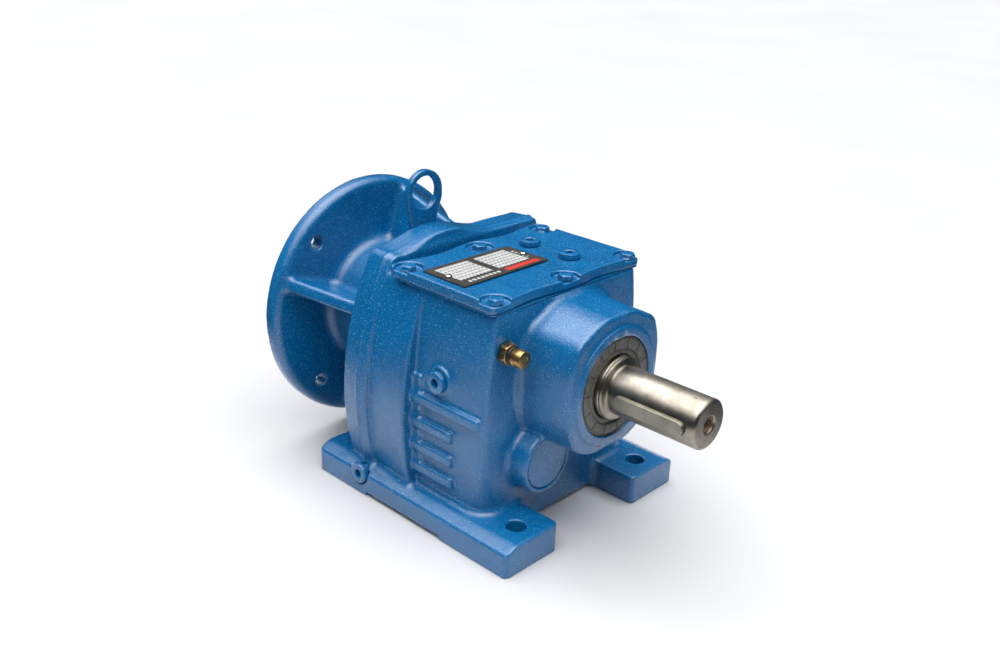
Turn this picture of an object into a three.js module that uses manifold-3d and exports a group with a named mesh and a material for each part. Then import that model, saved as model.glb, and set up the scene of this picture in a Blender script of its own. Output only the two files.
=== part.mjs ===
// Foot-mounted inline helical gearbox with an input motor flange.
// Millimetres. +X runs along the output shaft to its free end, +Z is up, and the origin is on the
// mounting plane under the middle of the gearbox.
import * as THREE from "three";
import { mergeVertices } from "three/addons/utils/BufferGeometryUtils.js";
import Module from "manifold-3d";

const wasm = await Module();
wasm.setup();

// ---- driving dimensions ----
const GAP = 0.3; // clearance kept between touching pieces
const OUT_Z = 115; // output shaft height over the mounting plane
const IN_Z = 107; // input shaft height
const MID_Y = -33; // intermediate shaft
const MID_Z = 57.5;

const SHAFT_END_X = 168.5;
const SHAFT_R = 17.5;
const SHAFT_LENGTH = 70;
const SHOULDER_X = SHAFT_END_X - SHAFT_LENGTH;
const COLLAR_R = 22.5;
const TAPPED_R = 6;
const KEY_LENGTH = 56;
const KEY_WIDTH = 10;
const KEY_HEIGHT = 8;
const KEY_FLOOR_Y = -(SHAFT_R - 5);

const FOOT_FRONT_X = 87;
const FOOT_LENGTH = 200;
const FOOT_REAR_X = FOOT_FRONT_X - FOOT_LENGTH;
const FOOT_OUTER_Y = 95;
const FOOT_INNER_Y = 42.5;
const FOOT_TOP_Z = 22.5;
const FOOT_EDGE_Z = 18;
const FOOT_HOLE_Y = 67.5;
const FOOT_HOLE_INSET = 17.5;
const FOOT_HOLE_R = 7;
const RELIEF_FRONT_X = 22;
const RELIEF_REAR_X = -57;
const RELIEF_Z = 3;

const BODY_BOTTOM_Z = 2.5;
const BODY_TOP_Z = 171.7;
const RIM_TOP_Z = 182;
const RIM_REAR_X = -84.5;
const RIM_CREST_X = -67;
const RIM_FRONT_X = -59;
const BARREL_FRONT_X = -19;
const WALL_FRONT_X = 49;
const RIM_HALF = 94;
const BARREL_HALF = 92;
const WALL_HALF = 81.5;
const FLANK_Z = 80; // height at which the bulged sides are widest
const BARREL_BULGE_R = 225;
const RIM_BULGE_R = 200;
const RIM_RIGHT_BULGE_R = 700; // the right side of the rim is straighter
const WALL_BULGE_R = 520;

const BOSS_FACE_X = 93;
const SEAL_FACE_X = 94;
const SEAL_R = 36;
const SEAL_WIDTH = 8;
const RING_SIDES = 16; // sides of a bearing ring's polygon
const MID_BOSS_X = 66;
const MID_BOSS_R = 24;
const MID_BORE_R = 20.2;

const COVER_REAR_X = -51;
const COVER_FRONT_X = 49.5;
const COVER_HALF = 77.5;
const GASKET_Z = BODY_TOP_Z + GAP;
const GASKET_T = 0.9;
const COVER_Z = GASKET_Z + GASKET_T + GAP;
const COVER_LEDGE_Z = 178.2;
const COVER_TOP_Z = 181;
const COVER_BOLT_X = [-39, 43.5];
const COVER_BOLT_Y = [-69.5, 0, 69.5];
const PLATE_LENGTH = 83; // nameplate along Y
const PLATE_WIDTH = 40;
const PLATE_X = -4;
const PLATE_Y = -28.5;
const RIVET_PITCH = 74;
const PLATE_Z = COVER_TOP_Z + GAP;
const PLATE_T = 0.9;

const FLANGE_REAR_X = -SHAFT_END_X;
const FLANGE_R = 100;
const FLANGE_T = 12.5;
const FLANGE_BOLT_CIRCLE_R = 82.5;
const FLANGE_HOLE_R = 5.5;
const REGISTER_R = 65.2;
const REGISTER_DEPTH = 5;
const NECK_R = 48;
const NECK_BORE_R = 36.4;
const MOUNT_PLATE_T = 12;
const MOUNT_PLATE_X = RIM_REAR_X - GAP - MOUNT_PLATE_T;
const RIB_ANGLES = [70, 160, 250, 340];
const RIB_T = 10;
const MOTOR_BORE_R = 12;

const EYE_Y = -12;
const EYE_Z = 213.2;
const EYE_R = 17;
const EYE_HOLE_R = 12.6;
const EYE_T = 5;

const CHAMBER_FLOOR_Z = 9;
const MID_WALL_X = [-32, -14];
const OPENING_HALF = 58;
const SIDE_PLUG = { x: 5.7, z: 113.4, y: -82 };
const DRAIN_PLUG = { x: -64.4, z: 16.5, y: -95 };
const TOP_PLUGS = [
  { x: -17.5, y: 31 },
  { x: 20, y: 31.5 },
];
const PLUG_HEAD_R = 8;
const PLUG_SHANK_R = 5;
const BREATHER_Y = -65;
const BREATHER_Z = 145;
const BOLT_R = 2.5;
const MOUNT_BOLTS = [
  { y: -65, z: 112 },
  { y: 65, z: 112 },
  { y: -65, z: 56 },
  { y: 65, z: 56 },
];
const MOUNT_BOLT_R = 4;
const EYE_BOLT_Z = 178;
const EYE_BOLT_Y = -13;

// Gear pairs: teeth and centre distances give the modules.
const OUT_TEETH = 45;
const PINION2_TEETH = 12;
const GEAR1_TEETH = 40;
const PINION1_TEETH = 16;
const CENTRE_2 = Math.hypot(MID_Y, OUT_Z - MID_Z);
const CENTRE_1 = Math.hypot(MID_Y, IN_Z - MID_Z);
const MODULE_2 = (2 * CENTRE_2) / (OUT_TEETH + PINION2_TEETH);
const MODULE_1 = (2 * CENTRE_1) / (GEAR1_TEETH + PINION1_TEETH);
const STAGE_2_X = [6, 28];
const STAGE_1_X = [-56, -41];

// ---- materials ----
function surface(color, roughness, metalness) {
  return new THREE.MeshStandardMaterial({ color, roughness, metalness });
}
const paint = surface(0x0a5aa6, 0.35, 0.0);
const shaftSteel = surface(0x9a9284, 0.35, 1.0);
const gearSteel = surface(0x6e6e70, 0.4, 1.0);
const ringSteel = surface(0xb4b6b8, 0.25, 1.0);
const brass = surface(0xb08a3c, 0.35, 1.0);
const rubber = surface(0x35332f, 0.6, 0.0);
const fibre = surface(0x51606c, 0.8, 0.0);
const platePaint = surface(0xc9c9c4, 0.4, 0.6);

// ---- solids and booleans ----
function solid(geometry) {
  const bare = geometry.clone();
  bare.deleteAttribute("normal");
  bare.deleteAttribute("uv");
  const merged = mergeVertices(bare, 1e-4);
  return new wasm.Manifold(
    new wasm.Mesh({
      numProp: 3,
      vertProperties: new Float32Array(merged.attributes.position.array),
      triVerts: new Uint32Array(merged.index.array),
    }),
  );
}

function join(first, ...rest) {
  return rest.reduce((sum, next) => sum.add(next), first);
}

function cut(first, ...rest) {
  return rest.reduce((left, next) => left.subtract(next), first);
}

function geometryOf(body) {
  const made = body.getMesh();
  const geometry = new THREE.BufferGeometry();
  const position = new Float32Array(made.numVert * 3);
  for (let i = 0; i < made.numVert; i++) {
    position.set(made.vertProperties.subarray(i * made.numProp, i * made.numProp + 3), 3 * i);
  }
  geometry.setAttribute("position", new THREE.BufferAttribute(position, 3));
  geometry.setIndex(new THREE.BufferAttribute(new Uint32Array(made.triVerts), 1));
  geometry.computeVertexNormals();
  return geometry;
}

// ---- basic shapes, all placed in the gearbox's own frame ----
function box(x0, x1, y0, y1, z0, z1) {
  const geometry = new THREE.BoxGeometry(x1 - x0, y1 - y0, z1 - z0);
  geometry.translate((x0 + x1) / 2, (y0 + y1) / 2, (z0 + z1) / 2);
  return solid(geometry);
}

// Turned piece about an axis parallel to X: profile points are [x, radius], closed on itself, going
// round so that x falls along the outside.
function turned(profile, y, z, segments = 32) {
  const points = profile.map(([x, r]) => new THREE.Vector2(r, x));
  points.push(points[0].clone());
  const geometry = new THREE.LatheGeometry(points, segments);
  geometry.rotateZ(-Math.PI / 2);
  geometry.translate(0, y, z);
  const made = solid(geometry);
  return made.volume() < 0 ? solid(flipped(geometry)) : made;
}

function flipped(geometry) {
  const index = geometry.index.array;
  for (let i = 0; i < index.length; i += 3) {
    [index[i + 1], index[i + 2]] = [index[i + 2], index[i + 1]];
  }
  return geometry;
}

function barX(x0, x1, r, y, z, segments = 32) {
  return solid(placedBar(x1 - x0, r, segments).rotateZ(-Math.PI / 2).translate((x0 + x1) / 2, y, z));
}

function barY(y0, y1, r, x, z, segments = 16) {
  return solid(placedBar(y1 - y0, r, segments).translate(x, (y0 + y1) / 2, z));
}

function barZ(z0, z1, r, x, y, segments = 16) {
  return solid(placedBar(z1 - z0, r, segments).rotateX(Math.PI / 2).translate(x, y, (z0 + z1) / 2));
}

function placedBar(length, r, segments) {
  return new THREE.CylinderGeometry(r, r, length, segments);
}

// Ring round an axis parallel to X.
function ringX(x0, x1, rInner, rOuter, y, z, segments = 32) {
  return turned(
    [
      [x0, rInner],
      [x0, rOuter],
      [x1, rOuter],
      [x1, rInner],
    ],
    y,
    z,
    segments,
  );
}

// Solid skinned over two or more sections of equal point counts: each is { x, outline } with
// outline points [y, z] going anticlockwise seen from +X.
function loft(sections) {
  const count = sections[0].outline.length;
  const position = [];
  for (const { x, outline } of sections) {
    for (const [y, z] of outline) position.push(x, y, z);
  }
  const index = [];
  for (let s = 0; s + 1 < sections.length; s++) {
    for (let i = 0; i < count; i++) {
      const a = s * count + i;
      const b = s * count + ((i + 1) % count);
      index.push(a, b, b + count, a, b + count, a + count);
    }
  }
  const caps = [0, sections.length - 1];
  for (const s of caps) {
    const flat = sections[s].outline.map(([y, z]) => new THREE.Vector2(y, z));
    for (const [a, b, c] of THREE.ShapeUtils.triangulateShape(flat, [])) {
      const base = s * count;
      if (s === 0) index.push(base + a, base + c, base + b);
      else index.push(base + a, base + b, base + c);
    }
  }
  const geometry = new THREE.BufferGeometry();
  geometry.setAttribute("position", new THREE.Float32BufferAttribute(position, 3));
  geometry.setIndex(index);
  return solid(geometry);
}

function slab(x0, x1, outline) {
  return loft([
    { x: x0, outline },
    { x: x1, outline },
  ]);
}

// Plate lying flat: outline points [x, y] anticlockwise seen from above.
function plate(z0, z1, outline) {
  const shape = new THREE.Shape(outline.map(([x, y]) => new THREE.Vector2(x, y)));
  const geometry = new THREE.ExtrudeGeometry(shape, { depth: z1 - z0, bevelEnabled: false });
  return solid(geometry.translate(0, 0, z0));
}

function arc(cx, cy, r, from, to, steps) {
  const points = [];
  for (let i = 0; i <= steps; i++) {
    const angle = ((from + ((to - from) * i) / steps) * Math.PI) / 180;
    points.push([cx + r * Math.cos(angle), cy + r * Math.sin(angle)]);
  }
  return points;
}

function hexagon(cx, cy, acrossFlats) {
  return arc(cx, cy, acrossFlats / Math.sqrt(3), 30, 330, 5);
}

// ---- housing outlines ----
function flank(half, bulgeR, z) {
  return half - (z - FLANK_Z) ** 2 / (2 * bulgeR);
}

// Symmetric section with bulged sides between two heights and small top corners.
function bulgedOutline(half, bulgeR, zLow, zHigh, corner, rightBulgeR = bulgeR) {
  const steps = 5;
  const side = (radius) => {
    const points = [];
    for (let i = 0; i <= steps; i++) {
      const z = zLow + ((zHigh - corner - zLow) * i) / steps;
      points.push([flank(half, radius, z), z]);
    }
    points.push([flank(half, radius, zHigh) - corner, zHigh]);
    return points;
  };
  const left = side(bulgeR).map(([y, z]) => [-y, z]).reverse();
  return side(rightBulgeR).concat(left);
}

function bossOutline(scale) {
  const half = [
    [-20, -46.5],
    [20, -46.5],
    [38, -38],
    [47, -20],
    [48.5, 0],
    [47.5, 24],
    [41, 40.5],
    [17, 52.5],
    [-17, 52.5],
    [-41, 40.5],
    [-47.5, 24],
    [-48.5, 0],
    [-47, -20],
    [-38, -38],
  ];
  return half.map(([y, z]) => [y * scale, OUT_Z + z * scale]);
}

function feet() {
  return [-1, 1].map((side) => {
    const outline = [
      [FOOT_INNER_Y, 0],
      [FOOT_OUTER_Y, 0],
      [FOOT_OUTER_Y, FOOT_EDGE_Z],
      [FOOT_OUTER_Y - 10, FOOT_TOP_Z],
      [FOOT_INNER_Y + 2, FOOT_TOP_Z],
      [FOOT_INNER_Y, FOOT_TOP_Z - 2],
    ].map(([y, z]) => [side * y, z]);
    return slab(FOOT_REAR_X, FOOT_FRONT_X, side > 0 ? outline : outline.reverse());
  });
}

function rim() {
  const section = (inset) =>
    bulgedOutline(RIM_HALF - inset, RIM_BULGE_R, BODY_BOTTOM_Z, RIM_TOP_Z - inset, 3, RIM_RIGHT_BULGE_R);
  const edge = section(2);
  const crest = section(0);
  return loft([
    { x: RIM_REAR_X, outline: edge },
    { x: RIM_CREST_X, outline: crest },
    { x: RIM_FRONT_X, outline: edge },
  ]);
}

// Low arched pad on top of the rim that carries the lifting eye.
function eyePad() {
  const span = 38;
  const rise = 10.5;
  const radius = (span ** 2 + rise ** 2) / (2 * rise);
  const reach = (Math.asin(span / radius) * 180) / Math.PI;
  const centreZ = RIM_TOP_Z - 2 + rise - radius;
  const top = arc(EYE_Y, centreZ, radius, 90 - reach, 90 + reach, 10);
  const low = RIM_TOP_Z - 20;
  return slab(RIM_REAR_X, RIM_CREST_X + 2, [[EYE_Y + span, low], ...top, [EYE_Y - span, low]]);
}

function wallRibs() {
  const rows = [
    { z: 95, x1: WALL_FRONT_X - 3 },
    { z: 76, x1: 21 },
    { z: 57, x1: 21 },
    { z: 39.5, x1: 21 },
  ];
  const ribs = [];
  for (const side of [-1, 1]) {
    for (const { z, x1 } of rows) {
      const depth = side * (WALL_HALF + 4);
      ribs.push(box(BARREL_FRONT_X - 1, x1, Math.min(0, depth), Math.max(0, depth), z - 4, z + 4));
    }
  }
  return ribs;
}

// ---- housing ----
function housing() {
  const barrel = slab(
    RIM_FRONT_X - 1,
    BARREL_FRONT_X,
    bulgedOutline(BARREL_HALF, BARREL_BULGE_R, BODY_BOTTOM_Z, BODY_TOP_Z, 0.5),
  );
  const walls = slab(
    BARREL_FRONT_X - 1,
    WALL_FRONT_X,
    bulgedOutline(WALL_HALF, WALL_BULGE_R, BODY_BOTTOM_Z, BODY_TOP_Z, 0.5),
  );
  const outputBoss = loft([
    { x: WALL_FRONT_X - 1, outline: bossOutline(1.03) },
    { x: BOSS_FACE_X, outline: bossOutline(1) },
  ]);
  const sealRing = barX(BOSS_FACE_X - 1, SEAL_FACE_X + 0.5, SEAL_R + 7, 0, OUT_Z, 32);
  const midBoss = barX(WALL_FRONT_X - 1, MID_BOSS_X, MID_BOSS_R, MID_Y, MID_Z, 24);
  const plugBoss = barY(SIDE_PLUG.y, -70, PLUG_HEAD_R + 2, SIDE_PLUG.x, SIDE_PLUG.z, 20);
  const outside = join(
    rim(),
    eyePad(),
    barrel,
    walls,
    outputBoss,
    sealRing,
    midBoss,
    plugBoss,
    ...feet(),
    ...wallRibs(),
  );
  return cut(outside, ...chambers(), ...bores(), ...housingHoles());
}

function chambers() {
  const rear = slab(
    RIM_REAR_X + 16,
    MID_WALL_X[0],
    bulgedOutline(83, 180, CHAMBER_FLOOR_Z, 158, 4),
  );
  const opening = slab(RIM_REAR_X - 1, RIM_REAR_X + 17, bulgedOutline(OPENING_HALF, 180, 16, 154, 8));
  const front = slab(
    MID_WALL_X[1],
    WALL_FRONT_X - 11,
    bulgedOutline(WALL_HALF - 9, WALL_BULGE_R, CHAMBER_FLOOR_Z, 160, 4),
  );
  const topOpening = box(MID_WALL_X[1], 36, -60, 60, 158, BODY_TOP_Z + 1);
  const passage = box(MID_WALL_X[0] - 1, MID_WALL_X[1] + 1, -20, 20, 149, 157);
  const underside = box(RELIEF_REAR_X, RELIEF_FRONT_X, -100, 100, -1, RELIEF_Z);
  return [rear, opening, front, topOpening, passage, underside];
}

function bores() {
  return [
    barX(30, 70, 39, 0, OUT_Z, 24),
    barX(60, SEAL_FACE_X - SEAL_WIDTH - 1, 37.9, 0, OUT_Z, 24),
    barX(80, SEAL_FACE_X + 2, SEAL_R + GAP, 0, OUT_Z, 32),
    barX(MID_WALL_X[0] + 3, MID_WALL_X[1] + 1, 31.5, 0, OUT_Z, 20),
    barX(MID_WALL_X[0] - 1, MID_WALL_X[1], 26, 0, OUT_Z, 16),
    barX(MID_WALL_X[0] - 1, MID_WALL_X[1] - 2, 24, MID_Y, MID_Z, 20),
    barX(MID_WALL_X[0], MID_WALL_X[1] + 1, 20, MID_Y, MID_Z, 16),
    barX(30, MID_BOSS_X + 1, MID_BORE_R, MID_Y, MID_Z, 24),
  ];
}

function housingHoles() {
  const holes = [];
  const rows = [FOOT_FRONT_X - FOOT_HOLE_INSET, FOOT_REAR_X + FOOT_HOLE_INSET];
  for (const x of rows) {
    for (const side of [-1, 1]) {
      holes.push(barZ(-1, FOOT_TOP_Z + 1, FOOT_HOLE_R, x, side * FOOT_HOLE_Y, 16));
    }
  }
  for (const x of COVER_BOLT_X) {
    for (const y of COVER_BOLT_Y) holes.push(barZ(161, BODY_TOP_Z + 1, BOLT_R + 0.4, x, y, 8));
  }
  for (const { y, z } of MOUNT_BOLTS) {
    holes.push(barX(RIM_REAR_X - 1, RIM_REAR_X + 13, MOUNT_BOLT_R + 0.4, y, z, 12));
  }
  holes.push(barX(RIM_REAR_X - 1, RIM_REAR_X + 13, MOUNT_BOLT_R + 0.4, EYE_BOLT_Y, EYE_BOLT_Z, 12));
  holes.push(barY(SIDE_PLUG.y - 4, -68, PLUG_SHANK_R + 0.4, SIDE_PLUG.x, SIDE_PLUG.z, 12));
  holes.push(barY(-97, -70, PLUG_SHANK_R + 0.4, DRAIN_PLUG.x, DRAIN_PLUG.z, 12));
  holes.push(barY(-100, DRAIN_PLUG.y + 4, PLUG_HEAD_R + 0.5, DRAIN_PLUG.x, DRAIN_PLUG.z, 20));
  holes.push(barX(30, WALL_FRONT_X + 2, 4.3, BREATHER_Y, BREATHER_Z, 12));
  return holes;
}

// ---- top cover, gasket, nameplate ----
function coverOutline(inset) {
  const x0 = COVER_REAR_X + inset;
  const x1 = COVER_FRONT_X - inset;
  const y1 = COVER_HALF - inset;
  const corner = 6;
  return [
    [x0 + corner, -y1],
    [x1 - 2, -y1],
    [x1, -y1 + 2],
    [x1, y1 - 2],
    [x1 - 2, y1],
    [x0 + corner, y1],
    [x0, y1 - corner],
    [x0, -y1 + corner],
  ];
}

function coverBoltPlaces() {
  return COVER_BOLT_X.flatMap((x) => COVER_BOLT_Y.map((y) => ({ x, y })));
}

function topCover() {
  const ledge = plate(COVER_Z, COVER_LEDGE_Z, coverOutline(0));
  const pad = plate(COVER_LEDGE_Z - 1, COVER_TOP_Z, coverOutline(3));
  const pockets = coverBoltPlaces().map(({ x, y }) => barZ(COVER_LEDGE_Z, COVER_TOP_Z + 1, 10, x, y, 16));
  const boltHoles = coverBoltPlaces().map(({ x, y }) => barZ(170, COVER_TOP_Z + 1, BOLT_R + 0.5, x, y, 8));
  const plugHoles = TOP_PLUGS.map(({ x, y }) => barZ(170, COVER_TOP_Z + 1, PLUG_SHANK_R + 0.4, x, y, 12));
  const rivetHoles = rivetPlaces().map((y) => barZ(176, COVER_TOP_Z + 1, 1.6, PLATE_X, y, 8));
  return cut(join(ledge, pad), ...pockets, ...boltHoles, ...plugHoles, ...rivetHoles);
}

function coverGasket() {
  const sheet = plate(GASKET_Z, GASKET_Z + GASKET_T, coverOutline(0.7));
  const window = box(MID_WALL_X[1] + 1, 35, -59, 59, GASKET_Z - 1, GASKET_Z + GASKET_T + 1);
  const boltHoles = coverBoltPlaces().map(({ x, y }) => barZ(170, 176, BOLT_R + 0.5, x, y, 8));
  return cut(sheet, window, ...boltHoles);
}

function coverBolt({ x, y }) {
  const head = plate(COVER_LEDGE_Z + GAP, COVER_LEDGE_Z + GAP + 4, hexagon(x, y, 10));
  return join(head, barZ(163, COVER_LEDGE_Z + 1, BOLT_R, x, y, 8));
}

function rivetPlaces() {
  return [PLATE_Y - RIVET_PITCH / 2, PLATE_Y + RIVET_PITCH / 2];
}

function nameplate() {
  const sheet = box(
    PLATE_X - PLATE_WIDTH / 2,
    PLATE_X + PLATE_WIDTH / 2,
    PLATE_Y - PLATE_LENGTH / 2,
    PLATE_Y + PLATE_LENGTH / 2,
    PLATE_Z,
    PLATE_Z + PLATE_T,
  );
  return cut(sheet, ...rivetPlaces().map((y) => barZ(PLATE_Z - 1, PLATE_Z + 2, 1.6, PLATE_X, y, 8)));
}

function rivet(y) {
  const seat = PLATE_Z + PLATE_T + GAP;
  return join(barZ(seat, seat + 1.2, 2.6, PLATE_X, y, 12), barZ(177, seat + 0.5, 1.2, PLATE_X, y, 8));
}

// ---- plugs and breather ----
function topPlug({ x, y }) {
  const head = barZ(COVER_TOP_Z + GAP, COVER_TOP_Z + 4.5, PLUG_HEAD_R, x, y, 20);
  const shank = barZ(174, COVER_TOP_Z + 1, PLUG_SHANK_R, x, y, 12);
  return cut(join(head, shank), plate(177, COVER_TOP_Z + 6, hexagon(x, y, 6)));
}

function wallPlug({ x, z, y }, seat, reach) {
  const head = barY(y - 4 - GAP, seat - GAP, PLUG_HEAD_R, x, z, 20);
  const shank = barY(seat - 1, seat + reach, PLUG_SHANK_R, x, z, 12);
  const socket = barY(y - 6, y, 3.2, x, z, 6);
  return cut(join(head, shank), socket);
}

function breatherBody() {
  const flats = arc(BREATHER_Y, BREATHER_Z, 14 / Math.sqrt(3), 0, 300, 5);
  const hex = slab(WALL_FRONT_X + GAP, WALL_FRONT_X + 7, flats);
  return join(hex, barX(40, WALL_FRONT_X + 15, 3.9, BREATHER_Y, BREATHER_Z, 12));
}

function breatherCap() {
  const rear = WALL_FRONT_X + 10;
  const shell = barX(rear, rear + 8.5, 6.2, BREATHER_Y, BREATHER_Z, 20);
  return cut(shell, barX(rear - 1, rear + 5.6, 4.3, BREATHER_Y, BREATHER_Z, 12));
}

// ---- input flange with its neck, ribs and mounting plate ----
function mountPlateOutline() {
  return bulgedOutline(76, RIM_BULGE_R, 44, 160, 6);
}

function flangeRib(angle) {
  const rFlange = 94;
  const rRim = 76;
  const half = RIB_T / 2;
  const x0 = FLANGE_REAR_X + FLANGE_T - 1;
  const x1 = RIM_REAR_X - 1;
  const section = (r) => [
    [30, -half],
    [r, -half],
    [r, half],
    [30, half],
  ];
  const turn = (angle * Math.PI) / 180;
  const place = ([u, v]) => [
    u * Math.cos(turn) - v * Math.sin(turn),
    IN_Z + u * Math.sin(turn) + v * Math.cos(turn),
  ];
  return loft([
    { x: x0, outline: section(rFlange).map(place) },
    { x: x1, outline: section(rRim).map(place) },
  ]);
}

function inputFlange() {
  const face = FLANGE_REAR_X + FLANGE_T;
  const disc = turned(
    [
      [FLANGE_REAR_X, 20],
      [FLANGE_REAR_X, FLANGE_R - 1],
      [FLANGE_REAR_X + 1, FLANGE_R],
      [face - 3, FLANGE_R],
      [face, FLANGE_R - 4],
      [face, 20],
    ],
    0,
    IN_Z,
    48,
  );
  const neck = turned(
    [
      [face - 1, 20],
      [face - 1, NECK_R],
      [MOUNT_PLATE_X + 2, NECK_R],
      [MOUNT_PLATE_X + 2, 20],
    ],
    0,
    IN_Z,
    32,
  );
  const mount = slab(MOUNT_PLATE_X, RIM_REAR_X - GAP, mountPlateOutline());
  const body = join(disc, neck, mount, ...RIB_ANGLES.map(flangeRib));
  return cut(body, ...flangeBores(), ...flangeHoles());
}

function flangeBores() {
  return [
    barX(FLANGE_REAR_X - 1, FLANGE_REAR_X + REGISTER_DEPTH, REGISTER_R, 0, IN_Z, 32),
    barX(FLANGE_REAR_X, -140, 31.6, 0, IN_Z, 20),
    barX(-142, RIM_REAR_X + 1, NECK_BORE_R, 0, IN_Z, 24),
    ringX(-94.5, -91.9, NECK_BORE_R - 1, 38.3, 0, IN_Z, 24),
  ];
}

function flangeHoles() {
  const holes = [];
  for (const angle of [45, 135, 225, 315]) {
    const turn = (angle * Math.PI) / 180;
    const y = FLANGE_BOLT_CIRCLE_R * Math.cos(turn);
    const z = IN_Z + FLANGE_BOLT_CIRCLE_R * Math.sin(turn);
    holes.push(barX(FLANGE_REAR_X - 1, FLANGE_REAR_X + FLANGE_T + 1, FLANGE_HOLE_R, y, z, 16));
  }
  for (const { y, z } of MOUNT_BOLTS) {
    holes.push(barX(MOUNT_PLATE_X - 1, RIM_REAR_X, MOUNT_BOLT_R + 0.4, y, z, 12));
  }
  return holes;
}

function mountBolt({ y, z }, seat) {
  const flats = arc(y, z, 13 / Math.sqrt(3), 0, 300, 5);
  const head = slab(seat - GAP - 5.3, seat - GAP, flats);
  return join(head, barX(seat - 1, RIM_REAR_X + 11, MOUNT_BOLT_R, y, z, 10));
}

function liftingEye() {
  const baseHalf = 10.5;
  const baseY = EYE_BOLT_Y;
  const lowZ = 168;
  const head = arc(EYE_Y, EYE_Z, EYE_R, -30, 210, 20);
  const outline = [[baseY + baseHalf, lowZ + 4], ...head, [baseY - baseHalf, lowZ + 4], [baseY, lowZ]];
  const front = RIM_REAR_X - GAP;
  const blank = slab(front - EYE_T, front, outline);
  const hole = barX(front - EYE_T - 1, front + 1, EYE_HOLE_R, EYE_Y, EYE_Z, 28);
  const boltHole = barX(front - EYE_T - 1, front + 1, MOUNT_BOLT_R + 0.4, EYE_BOLT_Y, EYE_BOLT_Z, 12);
  return cut(blank, hole, boltHole);
}

// ---- gears ----
// Spur section of a helical gear: teeth taper from root to tip, thinned for running clearance.
function gearOutline(teeth, module, phase, y, z) {
  const pitch = (teeth * module) / 2;
  const stations = [
    [pitch - 1.2 * module, -0.34],
    [pitch + 0.85 * module, -0.1],
    [pitch + 0.85 * module, 0.1],
    [pitch - 1.2 * module, 0.34],
  ];
  const outline = [];
  for (let tooth = 0; tooth < teeth; tooth++) {
    for (const [r, share] of stations) {
      const angle = phase + ((tooth + share) * 2 * Math.PI) / teeth;
      outline.push([y + r * Math.cos(angle), z + r * Math.sin(angle)]);
    }
  }
  return outline;
}

// Tooth phases: the driven wheel shows a tooth, and its pinion a gap, on the line of centres.
const LINE_2 = Math.atan2(MID_Z - OUT_Z, MID_Y);
const LINE_1 = Math.atan2(IN_Z - MID_Z, -MID_Y);
const PHASE_OUT = LINE_2;
const PHASE_PINION2 = LINE_2 + Math.PI + Math.PI / PINION2_TEETH;
const PHASE_GEAR1 = LINE_1;
const PHASE_PINION1 = LINE_1 + Math.PI + Math.PI / PINION1_TEETH;

function gear([x0, x1], teeth, module, phase, y, z, boreR) {
  const blank = slab(x0, x1, gearOutline(teeth, module, phase, y, z));
  return cut(blank, barX(x0 - 1, x1 + 1, boreR, y, z, 24));
}

// ---- shafts ----
function outputShaft() {
  const bar = turned(
    [
      [-30, 0],
      [-30, 14.5],
      [-2, 14.5],
      [-2, 21],
      [40, 21],
      [40, 26],
      [67.5, 26],
      [67.5, COLLAR_R],
      [SHOULDER_X - 1, COLLAR_R],
      [SHOULDER_X, COLLAR_R - 1],
      [SHOULDER_X, SHAFT_R],
      [SHAFT_END_X - 1.5, SHAFT_R],
      [SHAFT_END_X, SHAFT_R - 1.5],
      [SHAFT_END_X, 0],
    ],
    0,
    OUT_Z,
    32,
  );
  const slot = keyOutline(KEY_WIDTH / 2 + GAP, KEY_LENGTH / 2 + GAP);
  const keyway = stadiumY(slot, -SHAFT_R - 4, KEY_FLOOR_Y + GAP);
  const tapped = barX(SHAFT_END_X - 25, SHAFT_END_X + 1, TAPPED_R, 0, OUT_Z, 20);
  return cut(bar, keyway, tapped);
}

function keyOutline(half, reach) {
  const middle = (SHOULDER_X + SHAFT_END_X) / 2;
  const ahead = arc(middle + reach - half, OUT_Z, half, -90, 90, 8);
  const behind = arc(middle - reach + half, OUT_Z, half, 90, 270, 8);
  return [...ahead, ...behind];
}

// Flat-sided bar with an [x, z] outline, between two Y planes.
function stadiumY(outline, y0, y1) {
  const shape = new THREE.Shape(outline.map(([x, z]) => new THREE.Vector2(x, z)));
  const geometry = new THREE.ExtrudeGeometry(shape, { depth: y1 - y0, bevelEnabled: false });
  return solid(geometry.rotateX(Math.PI / 2).translate(0, y1, 0));
}

function outputKey() {
  return stadiumY(keyOutline(KEY_WIDTH / 2, KEY_LENGTH / 2), KEY_FLOOR_Y - KEY_HEIGHT, KEY_FLOOR_Y);
}

function intermediateShaft() {
  const bar = turned(
    [
      [-58, 0],
      [-58, 9.7],
      [-15, 9.7],
      [-15, 11],
      [48, 11],
      [48, 8.2],
      [61, 8.2],
      [61, 0],
    ],
    MID_Y,
    MID_Z,
    20,
  );
  const pinion = slab(
    STAGE_2_X[0] - 2,
    STAGE_2_X[1] + 2,
    gearOutline(PINION2_TEETH, MODULE_2, PHASE_PINION2, MID_Y, MID_Z),
  );
  return join(bar, pinion);
}

function inputShaft() {
  const bar = turned(
    [
      [-152, 0],
      [-152, 20],
      [-142, 20],
      [-142, 17.2],
      [-94, 17.2],
      [-94, 14],
      [-40, 14],
      [-40, 0],
    ],
    0,
    IN_Z,
    28,
  );
  const pinion = slab(
    STAGE_1_X[0] - 2,
    STAGE_1_X[1] + 2,
    gearOutline(PINION1_TEETH, MODULE_1, PHASE_PINION1, 0, IN_Z),
  );
  const bore = barX(-153, -100, MOTOR_BORE_R, 0, IN_Z, 24);
  const keyway = box(-153, -104, -4, 4, IN_Z, IN_Z + MOTOR_BORE_R + 3.3);
  return cut(join(bar, pinion), bore, keyway);
}

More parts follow.
